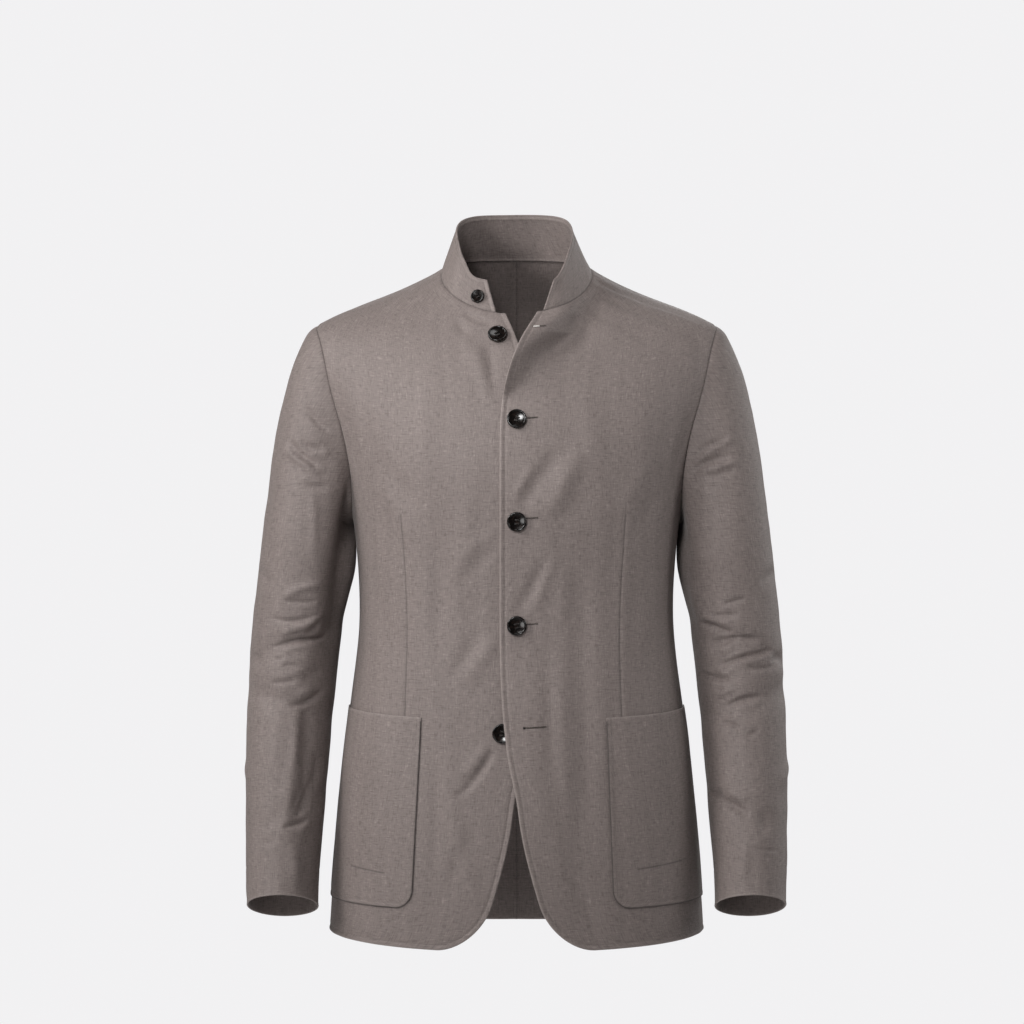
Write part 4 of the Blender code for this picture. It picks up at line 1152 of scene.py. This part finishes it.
def makeThread(name, size, place, out, twist):  # two strands each way through the holes
    shape = bmesh.new()
    reach, wide = size["spread"], buttonCut["threadWidth"]
    count, last = buttonCut["threadSides"], buttonCut["threadSteps"]
    turns = [2 * math.pi * m / count for m in range(count)]
    ways = [Vector((0, math.cos(turn), math.sin(turn))) for turn in turns]
    for side in (-1, 1):
        for strand in buttonCut["strands"]:
            rings = []
            for k in range(last + 1):
                s = -1 + 2 * k / last
                lift = size["middle"] + buttonCut["threadArch"] * math.sqrt(max(0, 1 - s**6))
                lift -= buttonCut["threadDip"] if k in (0, last) else 0
                p = Vector((s * reach * buttonCut["threadReach"], side * reach + strand * wide, lift))
                rings.append([shape.verts.new(p + way * wide / 2) for way in ways])
            loftRings(shape, rings)
    bmesh.ops.recalc_face_normals(shape, faces=shape.faces)
    mesh = meshFrom(name, shape)
    mesh.shade_smooth()
    return placedMesh(name + "_thread", mesh, place, out, twist)


def frontSpot(side, x, z):  # a point on a front's outer cloth and the way out of it
    run = runAtHeight(z)
    angle = angleAtWidth(x, run)
    point, out = bodyPoint(angle, run), bodyNormal(angle, run)
    gap = gapTo(point[None], fronts[side]["sewn"])
    swell = frontSwell(side, np.array([angle]), np.array([run]), point[None], gap)[0]
    flip = np.array([signOf[side], 1, 1])
    return (point + out * swell + rolledOut(side, point, gap[0])) * flip, out * flip


buttonPieces, threadPieces = {}, {}


def addButton(name, kind, place, out, twist):
    place = place + out * cloth["buttonGap"]
    buttonPieces[name] = makeButton(name, buttonCut[kind], place, out, twist)
    threadPieces[name] = makeThread(name, buttonCut[kind], place, out, twist)


for name, (z, twist) in buttonCut["fastened"].items():
    addButton(name, "front", *frontSpot("left", 0, z), twist)
for name, (x, z, twist) in buttonCut["open"].items():
    addButton(name, "front", *frontSpot("right", x, z), twist)
endStep = np.linalg.norm(collarPoint(1, 0.5) - collarPoint(1 - smallStep, 0.5))
collarShare = 1 - buttonCut["collarSetback"] * smallStep / endStep
collarSpot = collarPoint(collarShare, buttonCut["collarHeight"])
collarOut = surfaceNormal(collarPoint, collarShare, buttonCut["collarHeight"], smallStep)
nearest = np.linalg.norm(collarGrid["base"] - collarSpot, axis=-1)
nearest = np.unravel_index(nearest.argmin(), nearest.shape)
collarSpot = collarSpot + collarGrid["outer"][nearest] - collarGrid["base"][nearest]
addButton("button_collar", "collar", collarSpot, collarOut, buttonCut["collarTwist"])
print("buttons", len(buttonPieces))


# nodes

class Wire:
    def __init__(self, tree, socket):
        self.tree, self.socket = tree, socket

    def sum(self, kind, first, second):
        node = addNode(self.tree, "ShaderNodeMath", {"operation": kind}, [first, second])
        return Wire(self.tree, node.outputs[0])

    def __add__(self, other):
        return self.sum("ADD", self, other)

    def __sub__(self, other):
        return self.sum("SUBTRACT", self, other)

    def __mul__(self, other):
        return self.sum("MULTIPLY", self, other)

    def __rsub__(self, other):
        return self.sum("SUBTRACT", other, self)

    __radd__, __rmul__ = __add__, __mul__


def addNode(tree, kind, settings=None, sockets=()):  # sockets by name or in order
    node = tree.nodes.new(kind)
    for key, value in (settings or {}).items():
        setattr(node, key, value)
    pairs = sockets.items() if isinstance(sockets, dict) else enumerate(sockets)
    for key, value in pairs:
        port = node.inputs[key]
        if isinstance(value, Wire):
            tree.links.new(value.socket, port)
        elif value is not None:
            port.default_value = value
    return node


# stitches, laid along paths by Geometry Nodes

stitchCut = {
    # rows along an edge end a few points short of its corners
    "edge": {"pitch": 0.0040, "length": 0.0020, "thick": 0.00050,
             "inset": cloth["stitchInset"], "sewn": slice(8, None)},
    "pocket": {"pitch": 0.0030, "length": 0.0022, "thick": 0.00045,
               "inset": cloth["stitchInset"], "sewn": slice(4, -4)},
    "collar": {"pitch": 0.0034, "length": 0.0020, "thick": 0.00045,
               "inset": -0.0043, "sewn": slice(2, -2)},
    "purl": {"pitch": 0.00060, "length": 0.0010, "thick": 0.00052},
    "bar": {"pitch": 0.0008, "length": 0.0014, "thick": 0.0007},
    "seed": 4, "uneven": (0.86, 1.14), "beadSides": 7, "beadRings": 5, "smoothRounds": 3,
}


def stitchTree():
    tree = bpy.data.node_groups.new("stitchRow", "GeometryNodeTree")
    inputs = {
        "Path": "Geometry", "Pitch": "Float", "Length": "Float", "Thickness": "Float", "Thread": "Material"}
    for name, kind in inputs.items():
        tree.interface.new_socket(name=name, in_out="INPUT", socket_type="NodeSocket" + kind)
    tree.interface.new_socket(name="Stitches", in_out="OUTPUT", socket_type="NodeSocketGeometry")

    def put(kind, settings=None, **sockets):
        return Wire(tree, addNode(tree, kind, settings, sockets).outputs[0])

    given = addNode(tree, "NodeGroupInput").outputs
    path, pitch, length, thick, thread = (Wire(tree, given[name]) for name in inputs)
    curve = put("GeometryNodeMeshToCurve", Mesh=path)
    points = put("GeometryNodeResampleCurve", {"mode": "LENGTH"}, Curve=curve, Length=pitch)
    bead = put("GeometryNodeMeshUVSphere", Radius=0.5,
               Segments=stitchCut["beadSides"], Rings=stitchCut["beadRings"])
    scale = put("ShaderNodeCombineXYZ", X=length, Y=thick, Z=thick)
    bead = put("GeometryNodeTransform", Geometry=bead, Scale=scale)
    along = put("GeometryNodeInputNamedAttribute", {"data_type": "FLOAT_VECTOR"}, Name="along")
    turn = put("FunctionNodeAlignRotationToVector", {"axis": "X"}, Vector=along)
    least, most = stitchCut["uneven"]
    size = addNode(tree, "FunctionNodeRandomValue", {"data_type": "FLOAT"},
                   {"Seed": stitchCut["seed"], 2: least, 3: most})  # its float sockets
    size = Wire(tree, size.outputs[1])
    laid = put("GeometryNodeInstanceOnPoints", Points=points, Instance=bead, Rotation=turn, Scale=size)
    real = put("GeometryNodeRealizeInstances", Geometry=laid)
    done = put("GeometryNodeSetMaterial", Geometry=real, Material=thread)
    addNode(tree, "NodeGroupOutput", {}, [done])
    return tree


stitchRow = stitchTree()


def stitchPiece(name, paths, size, thread):  # paths of points with the way each stitch lies
    points = np.concatenate([p for p, _ in paths])
    along = np.concatenate([a for _, a in paths])
    edges, start = [], 0
    for p, _ in paths:
        edges += [(start + k, start + k + 1) for k in range(len(p) - 1)]
        start += len(p)
    mesh = bpy.data.meshes.new(name)
    mesh.from_pydata(points.tolist(), edges, [])
    mesh.attributes.new("along", "FLOAT_VECTOR", "POINT").data.foreach_set("vector", along.ravel())
    obj = linked(name, mesh)
    sewing = obj.modifiers.new("stitches", "NODES")
    sewing.node_group = stitchRow
    values = {"Pitch": size["pitch"], "Length": size["length"], "Thickness": size["thick"], "Thread": thread}
    for item in stitchRow.interface.items_tree:
        if item.in_out == "INPUT" and item.name in values:
            sewing[item.identifier] = values[item.name]
    made = bakedMesh(obj)
    made.name = name
    made.shade_smooth()
    obj.data = made
    return obj


def insetPath(line, grid, inset, mirror=False):  # a path on a piece's cloth, inside its edge
    line = evenLine(line, cloth["pathStep"])
    tree = treeOf(grid["base"].reshape(-1, 3))
    outs, moves = grid["out"].reshape(-1, 3), (grid["outer"] - grid["base"]).reshape(-1, 3)
    near = np.array([tree.find(p)[1] for p in line])
    tangent = unitOf(np.gradient(line, axis=0))
    inward = unitOf(np.cross(outs[near], tangent))
    path = line + inward * inset
    near = np.array([tree.find(p)[1] for p in path])
    path = path + moves[near] + outs[near] * cloth["stitchLift"]
    for _ in range(stitchCut["smoothRounds"]):
        path[1:-1] = (path[:-2] + path[1:-1] * 2 + path[2:]) / 4
    if mirror:
        path = path * flipX
    return path, unitOf(np.gradient(path, axis=0))


# finishes

def feed(tree, shader, **wires):
    for key, wire in wires.items():
        tree.links.new(wire.socket, shader.inputs[key.replace("_", " ")])


def newFinish(name, **constants):
    finish = bpy.data.materials.new(name)
    finish.use_nodes = True
    shader = finish.node_tree.nodes["Principled BSDF"]
    for key, value in constants.items():
        shader.inputs[key.replace("_", " ")].default_value = value
    return finish, finish.node_tree, shader


linenLook = {
    "colour": (0.195, 0.161, 0.151, 1), "pale": (0.307, 0.263, 0.247, 1), "deep": (0.108, 0.087, 0.081, 1),
    # near-black colour painted as shade in seams, darts and pocket edges
    "paintedShadeColour": (0.030, 0.025, 0.023, 1),
    # grains to the metre across and along, detail, shift
    "yarns": {
        "warp": (1 / 0.0013, 1 / 0.0075, 1.0, 3.1), "weft": (1 / 0.0075, 1 / 0.0013, 1.0, 7.7),
        "fineWarp": (1 / 0.0005, 1 / 0.0026, 1.0, 5.3), "fineWeft": (1 / 0.0026, 1 / 0.0005, 1.0, 9.9),
        "streak": (95, 7, 1.0, 33.1), "cloud": (26, 9, 2.0, 29.3),
    },
    # the same for thick and thin places in the yarn, then where each begins and is full
    "slubs": {
        "slubUp": (640, 95, 0.0, 11.3, 0.60, 0.76), "slubOver": (95, 640, 0.0, 17.9, 0.58, 0.74),
        "thinUp": (640, 110, 0.0, 23.5, 0.62, 0.78), "thinOver": (110, 640, 0.0, 41.5, 0.60, 0.76),
    },
    "tone": {"weave": 1.15, "fine": 1.1, "thick": 0.27, "thin": 0.52, "streak": 0.55, "cloud": 0.30},
    "mix": {"pale": 0.62, "deep": 0.62, "edgeWearAndHighlight": 0.42, "paintedSeamShade": 0.55},
    "rough": (0.72, 0.16), "bump": {"Strength": 0.55, "Distance": 0.0004}, "bumpWeave": 0.5, "bumpThick": 0.3,
    "noiseRough": 0.55, "shiftShare": 0.7,
    "cloth": {"Sheen_Weight": 0.16, "Sheen_Roughness": 0.45, "Sheen_Tint": (0.86, 0.82, 0.80, 1),
              "Specular_IOR_Level": 0.42},
}
hornLook = {
    "colour": (0.0040, 0.0031, 0.0029, 1), "cloud": (0.020, 0.012, 0.009, 1), "cloudFrom": (0.45, 0.80),
    "noise": {"Scale": 260.0, "Detail": 3.0, "Distortion": 1.2}, "rough": (0.17, 0.06),
    "horn": {"Coat_Roughness": 0.08, "Specular_IOR_Level": 0.34, "Coat_Weight": 0.20},
}
threadLook = {
    "tones": {  # pale and dark
        "taupe_thread": ((0.210, 0.182, 0.170, 1), (0.115, 0.098, 0.090, 1)),
        "brown_thread": ((0.105, 0.082, 0.072, 1), (0.050, 0.039, 0.034, 1)),
        # near-white thread painted as a glint on the neck buttonhole
        "painted_glint_thread": ((0.80, 0.77, 0.74, 1), (0.58, 0.55, 0.52, 1)),
        "dark_thread": ((0.034, 0.027, 0.024, 1), (0.012, 0.010, 0.009, 1)),
        "slit_shade": ((0.010, 0.008, 0.008, 1), (0.005, 0.004, 0.004, 1)),
    },
    "twistFrom": (0.30, 0.70), "noise": {"Scale": 1500.0, "Detail": 2.0}, "rough": (0.62, 0.2),
    "thread": {"Sheen_Weight": 0.2, "Specular_IOR_Level": 0.3},
}


def noiseAt(tree, place, scaleX, scaleY, detail, shift):
    shifted = (shift, shift * linenLook["shiftShare"], 0)
    moved = addNode(tree, "ShaderNodeMapping", {}, {
        "Vector": place, "Location": shifted, "Scale": (scaleX, scaleY, 1)})
    node = addNode(tree, "ShaderNodeTexNoise", {"noise_dimensions": "2D"}, {
        "Vector": Wire(tree, moved.outputs[0]), "Scale": 1.0, "Detail": detail,
        "Roughness": linenLook["noiseRough"]})
    return Wire(tree, node.outputs[0])


def solidNoise(tree, sizes):  # on the piece's own coordinates
    place = Wire(tree, addNode(tree, "ShaderNodeTexCoord").outputs["Object"])
    return Wire(tree, addNode(tree, "ShaderNodeTexNoise", {}, {"Vector": place, **sizes}).outputs[0])


def stretched(tree, value, low, high):
    return Wire(tree, addNode(tree, "ShaderNodeMapRange", {"interpolation_type": "SMOOTHSTEP"}, {
        "Value": value, "From Min": low, "From Max": high}).outputs[0])


def markOf(tree, name):
    return Wire(tree, addNode(tree, "ShaderNodeAttribute", {"attribute_name": name}).outputs["Fac"])


def mixed(tree, first, last, share):
    node = addNode(tree, "ShaderNodeMix", {"data_type": "RGBA"}, {0: share, 6: first, 7: last})
    return Wire(tree, node.outputs[2])


def linenFinish():
    finish, tree, shader = newFinish("taupe_linen", **linenLook["cloth"])
    place = Wire(tree, addNode(tree, "ShaderNodeUVMap", {"uv_map": "cut"}).outputs[0])
    yarn = {name: noiseAt(tree, place, *row) for name, row in linenLook["yarns"].items()}
    slub = {name: stretched(tree, noiseAt(tree, place, *row[:4]), *row[4:])
            for name, row in linenLook["slubs"].items()}
    weave = yarn["warp"] + yarn["weft"]
    fine = yarn["fineWarp"] * 0.5 + yarn["fineWeft"] * 0.5
    thick, thin = slub["slubUp"] + slub["slubOver"], slub["thinUp"] + slub["thinOver"]
    part, mix = linenLook["tone"], linenLook["mix"]
    tone = (weave - 1.0) * part["weave"] + (fine - 0.5) * part["fine"]
    tone = tone + thick * part["thick"] - thin * part["thin"]
    tone = tone + (yarn["streak"] - 0.5) * part["streak"] + (yarn["cloud"] - 0.5) * part["cloud"]
    pale, deep = stretched(tree, tone, 0.0, 1.0), stretched(tree, 0 - tone, 0.0, 1.0)
    colour = mixed(tree, linenLook["colour"], linenLook["pale"], pale * mix["pale"])
    colour = mixed(tree, colour, linenLook["deep"], deep * mix["deep"])
    # pale edges mix wear with a painted highlight; the seam mark is painted shade
    for mark, tint in (("edgeWearAndHighlight", "pale"), ("paintedSeamShade", "paintedShadeColour")):
        colour = mixed(tree, colour, linenLook[tint], markOf(tree, mark) * mix[mark])
    height = fine + weave * linenLook["bumpWeave"] + thick * linenLook["bumpThick"]
    bump = addNode(tree, "ShaderNodeBump", {}, {**linenLook["bump"], "Height": height})
    most, less = linenLook["rough"]
    feed(tree, shader, Base_Color=colour, Roughness=most - fine * less, Normal=Wire(tree, bump.outputs[0]))
    return finish


def hornFinish():
    finish, tree, shader = newFinish("dark_horn", **hornLook["horn"])
    share = stretched(tree, solidNoise(tree, hornLook["noise"]), *hornLook["cloudFrom"])
    least, more = hornLook["rough"]
    colour = mixed(tree, hornLook["colour"], hornLook["cloud"], share)
    feed(tree, shader, Base_Color=colour, Roughness=least + share * more)
    return finish


def threadFinish(name, pale, dark):
    finish, tree, shader = newFinish(name, **threadLook["thread"])
    twist = solidNoise(tree, threadLook["noise"])
    least, more = threadLook["rough"]
    colour = mixed(tree, dark, pale, stretched(tree, twist, *threadLook["twistFrom"]))
    feed(tree, shader, Base_Color=colour, Roughness=least + twist * more)
    return finish


linen, horn = linenFinish(), hornFinish()
threads = {name: threadFinish(name, *tones) for name, tones in threadLook["tones"].items()}
print("finishes", [linen.name, horn.name, *threads])


# rows of stitching

stitchPieces = {}


def sewRow(name, kind, grid, mirror=False):
    size = stitchCut[kind]
    path = insetPath(grid["line"][size["sewn"]], grid, size["inset"], mirror)
    stitchPieces[name] = stitchPiece(f"{name}_stitches", [path], size, threads["taupe_thread"])


for side in sides:
    sewRow(f"front_{side}", "edge", fronts[side], side == "right")
    sewRow(f"pocket_{side}", "pocket", pockets[side], side == "right")
sewRow("collar", "collar", collarGrid)


# worked buttonholes in the left front

holeCut = {
    # name: from x to x, z, keyhole
    "holes": {
        "chest": (-0.003, 0.0225, -0.1655, False), "middle": (-0.003, 0.0225, -0.2715, False),
        "waist": (-0.003, 0.0225, -0.3845, False), "low": (0.0066, 0.0310, -0.4945, True),
        "neck": (0.0185, 0.0315, -0.0668, False),
    },
    "rise": 0.06, "width": 0.00042, "least": 0.00005, "points": 25,
    "keyhole": (0.0009, 0.045, 0.05),  # swell, place and width along it
    "outline": ((-1, -0.0002), (-1, 0.00012), (0, 0.00016), (1, 0.00012), (1, -0.0002)),  # across, up
    "purlReach": 0.00055, "purlLift": 0.0001, "barLift": 0.0004, "barPoints": 11,
}


def holeLine(x0, x1, z):
    last = holeCut["points"] - 1
    reach = [blendOf(x0, x1, k / last) for k in range(last + 1)]
    spots = [frontSpot("left", x, z + holeCut["rise"] * (x - x0)) for x in reach]
    return np.array([p for p, _ in spots]), np.array([n for _, n in spots])


def keyholeSwell(share):
    swell, middle, width = holeCut["keyhole"]
    return swell * bell(share - middle, width)


# a near-black sheet over the uncut cloth, painted as the shadow inside the buttonhole's slit
def makeSlitShadow(name, points, outs, across, keyhole):
    share = np.linspace(0, 1, len(points))
    half = holeCut["width"] / 2 * (1 - (2 * share - 1) ** 8)
    if keyhole:
        half = half + keyholeSwell(share)
    shape = bmesh.new()
    rings = []
    for p, n, a, h in zip(points, outs, across, np.maximum(half, holeCut["least"])):
        rings.append([shape.verts.new(p + a * h * k + n * lift) for k, lift in holeCut["outline"]])
    loftRings(shape, rings)
    bmesh.ops.recalc_face_normals(shape, faces=shape.faces)
    mesh = meshFrom(name, shape)
    mesh.materials.append(threads["slit_shade"])
    return linked(name, mesh)


holePieces = []
for name, (x0, x1, z, keyhole) in holeCut["holes"].items():
    points, outs = holeLine(x0, x1, z)
    along = unitOf(np.gradient(points, axis=0))
    across = unitOf(np.cross(outs, along))
    holePieces.append(makeSlitShadow(f"buttonhole_{name}_slit", points, outs, across, keyhole))
    share = np.linspace(0, 1, len(points))[:, None]
    spread = holeCut["purlReach"] + (keyholeSwell(share) if keyhole else 0)
    rows = [(points + across * spread * k + outs * holeCut["purlLift"], across) for k in (-1, 1)]
    purl = stitchPiece(f"buttonhole_{name}_purl", rows, stitchCut["purl"], threads["brown_thread"])
    holePieces.append(purl)
    if name == "neck":  # its near half gets a near-white bar painted as a glint
        raised, near = points + outs * holeCut["barLift"], slice(holeCut["barPoints"])
        rows = [((raised + across * spread * k)[near], along[near]) for k in (-1, 0, 1)]
        holePieces.append(stitchPiece("buttonhole_neck_glint_bar", rows, stitchCut["bar"], threads["painted_glint_thread"]))
print("stitching", sum(len(o.data.polygons) for o in [*stitchPieces.values(), *holePieces]))


# who carries what

def dress(obj, finish, nodes=()):
    if finish is not None:
        obj.data.materials.clear()
        obj.data.materials.append(finish)
    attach(obj, "root")
    if nodes:
        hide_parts(*nodes)
    return obj


for side in sides:
    dress(frontPieces[side], linen, [f"front_{side}"])
    dress(backPieces[side], linen, [f"back_{side}"])
    dress(pocketPieces[side], linen, [f"pocket_{side}"])
    for part in parts:
        dress(sleevePieces[side, part], linen, [f"sleeve_{side}_{part}"])
dress(collarPiece, linen, ["collar"])
for name, obj in buttonPieces.items():
    dress(obj, horn, [name])
    dress(threadPieces[name], threads["dark_thread"])
for obj in [*stitchPieces.values(), *holePieces]:
    dress(obj, None)


# studio: pale floor, soft light, level camera

studio = {
    "floorHeight": -1.45, "floorRadius": 6.0, "floorSides": 96, "fadeFrom": 1.0, "fadeTo": 2.6,
    "floor": {"Base_Color": (0.80, 0.80, 0.81, 1), "Roughness": 0.7},
    "backdrop": {"Color": (0.885, 0.880, 0.890, 1), "Strength": 1.0},
    "ambient": {"Color": (1.0, 0.985, 0.975, 1), "Strength": 0.03},
    "cameraPlace": (-0.005, -4.0, -0.264), "lens": 127.8, "sensor": 36.0, "clip": (0.1, 60),
    "chest": {"place": (-0.7, -2.55, 0.9), "aim": (0.03, -0.1, -0.20),
              "cone": math.radians(23), "watts": 225, "size": 0.42},
    "lights": [
        # name, place, aim, size, watts, colour
        ("key", (-2.46, -1.72, 0.85), (0.0, 0.0, -0.25), 1.0, 42, (1.0, 0.985, 0.97)),
        ("side", (-2.0, -0.6, 1.3), (0.0, 0.0, -0.25), 1.2, 29, (1.0, 0.99, 0.98)),
        ("top", (0.3, -1.0, 2.2), (0.0, 0.0, -0.25), 1.0, 10, (1.0, 0.99, 0.98)),
        ("right", (2.4, -0.4, 0.5), (0.0, 0.0, -0.25), 1.2, 17, (1.0, 0.99, 0.98)),
        ("low left", (-1.2, -2.8, -0.9), (0.0, 0.0, -0.25), 1.0, 13, (1.0, 0.99, 0.98)),
        ("rim", (2.2, 1.6, 0.3), (0.0, 0.0, -0.35), 2.0, 20, (1.0, 0.99, 0.98)),
        ("back", (0.4, 3.0, 1.0), (0.0, 0.0, -0.3), 2.0, 26, (1.0, 1.0, 1.0)),
    ],
}


def makeFloor():
    shape = bmesh.new()
    bmesh.ops.create_circle(shape, cap_ends=True, segments=studio["floorSides"], radius=studio["floorRadius"])
    mesh = meshFrom("studio_floor", shape)
    mesh.transform(Matrix.Translation((0, 0, studio["floorHeight"])))
    obj = linked("studio_floor", mesh)
    finish, tree, shader = newFinish("pale_floor", **studio["floor"])
    place = Wire(tree, addNode(tree, "ShaderNodeTexCoord").outputs["Object"])
    flat = addNode(tree, "ShaderNodeVectorMath", {"operation": "MULTIPLY"}, [place, (1, 1, 0)])
    away = addNode(tree, "ShaderNodeVectorMath", {"operation": "LENGTH"}, [Wire(tree, flat.outputs[0])])
    seen = 1 - stretched(tree, Wire(tree, away.outputs["Value"]), studio["fadeFrom"], studio["fadeTo"])
    feed(tree, shader, Alpha=seen)
    mesh.materials.append(finish)


def hangLamp(lamp, place, aim):
    obj = linked(lamp.name, lamp)
    obj.location = place
    obj.rotation_euler = (Vector(aim) - Vector(place)).to_track_quat("-Z", "Y").to_euler()


def makeLights():
    for name, place, aim, size, watts, colour in studio["lights"]:
        lamp = bpy.data.lights.new(name, "AREA")
        lamp.shape, lamp.size, lamp.energy, lamp.color = "DISK", size, watts, colour
        hangLamp(lamp, place, aim)


def makeChestLight():  # a soft spot that lifts the upper body
    chest = studio["chest"]
    lamp = bpy.data.lights.new("chest", "SPOT")
    lamp.energy, lamp.spot_size, lamp.spot_blend = chest["watts"], chest["cone"], 1.0
    lamp.shadow_soft_size = chest["size"]
    hangLamp(lamp, chest["place"], chest["aim"])


def makeSurroundings():
    world = bpy.data.worlds.new("studio")
    bpy.context.scene.world = world
    world.use_nodes = True
    tree = world.node_tree
    tree.nodes.clear()
    glow = addNode(tree, "ShaderNodeBackground", {}, studio["ambient"])
    seen = addNode(tree, "ShaderNodeBackground", {}, studio["backdrop"])
    path = addNode(tree, "ShaderNodeLightPath")
    both = addNode(tree, "ShaderNodeMixShader", {}, {
        0: Wire(tree, path.outputs["Is Camera Ray"]),
        1: Wire(tree, glow.outputs[0]), 2: Wire(tree, seen.outputs[0])})
    out = addNode(tree, "ShaderNodeOutputWorld")
    tree.links.new(both.outputs[0], out.inputs["Surface"])


def makeCamera():
    eye = bpy.data.cameras.new("camera")
    eye.sensor_width, eye.lens = studio["sensor"], studio["lens"]
    eye.clip_start, eye.clip_end = studio["clip"]
    obj = linked("camera", eye)
    obj.location = studio["cameraPlace"]
    obj.rotation_euler = (math.pi / 2, 0, 0)
    bpy.context.scene.camera = obj


makeFloor()
makeLights()
makeChestLight()
makeSurroundings()
makeCamera()
bpy.context.scene.view_settings.view_transform = "Standard"
bpy.context.scene.view_settings.look = "None"
bpy.context.view_layer.update()
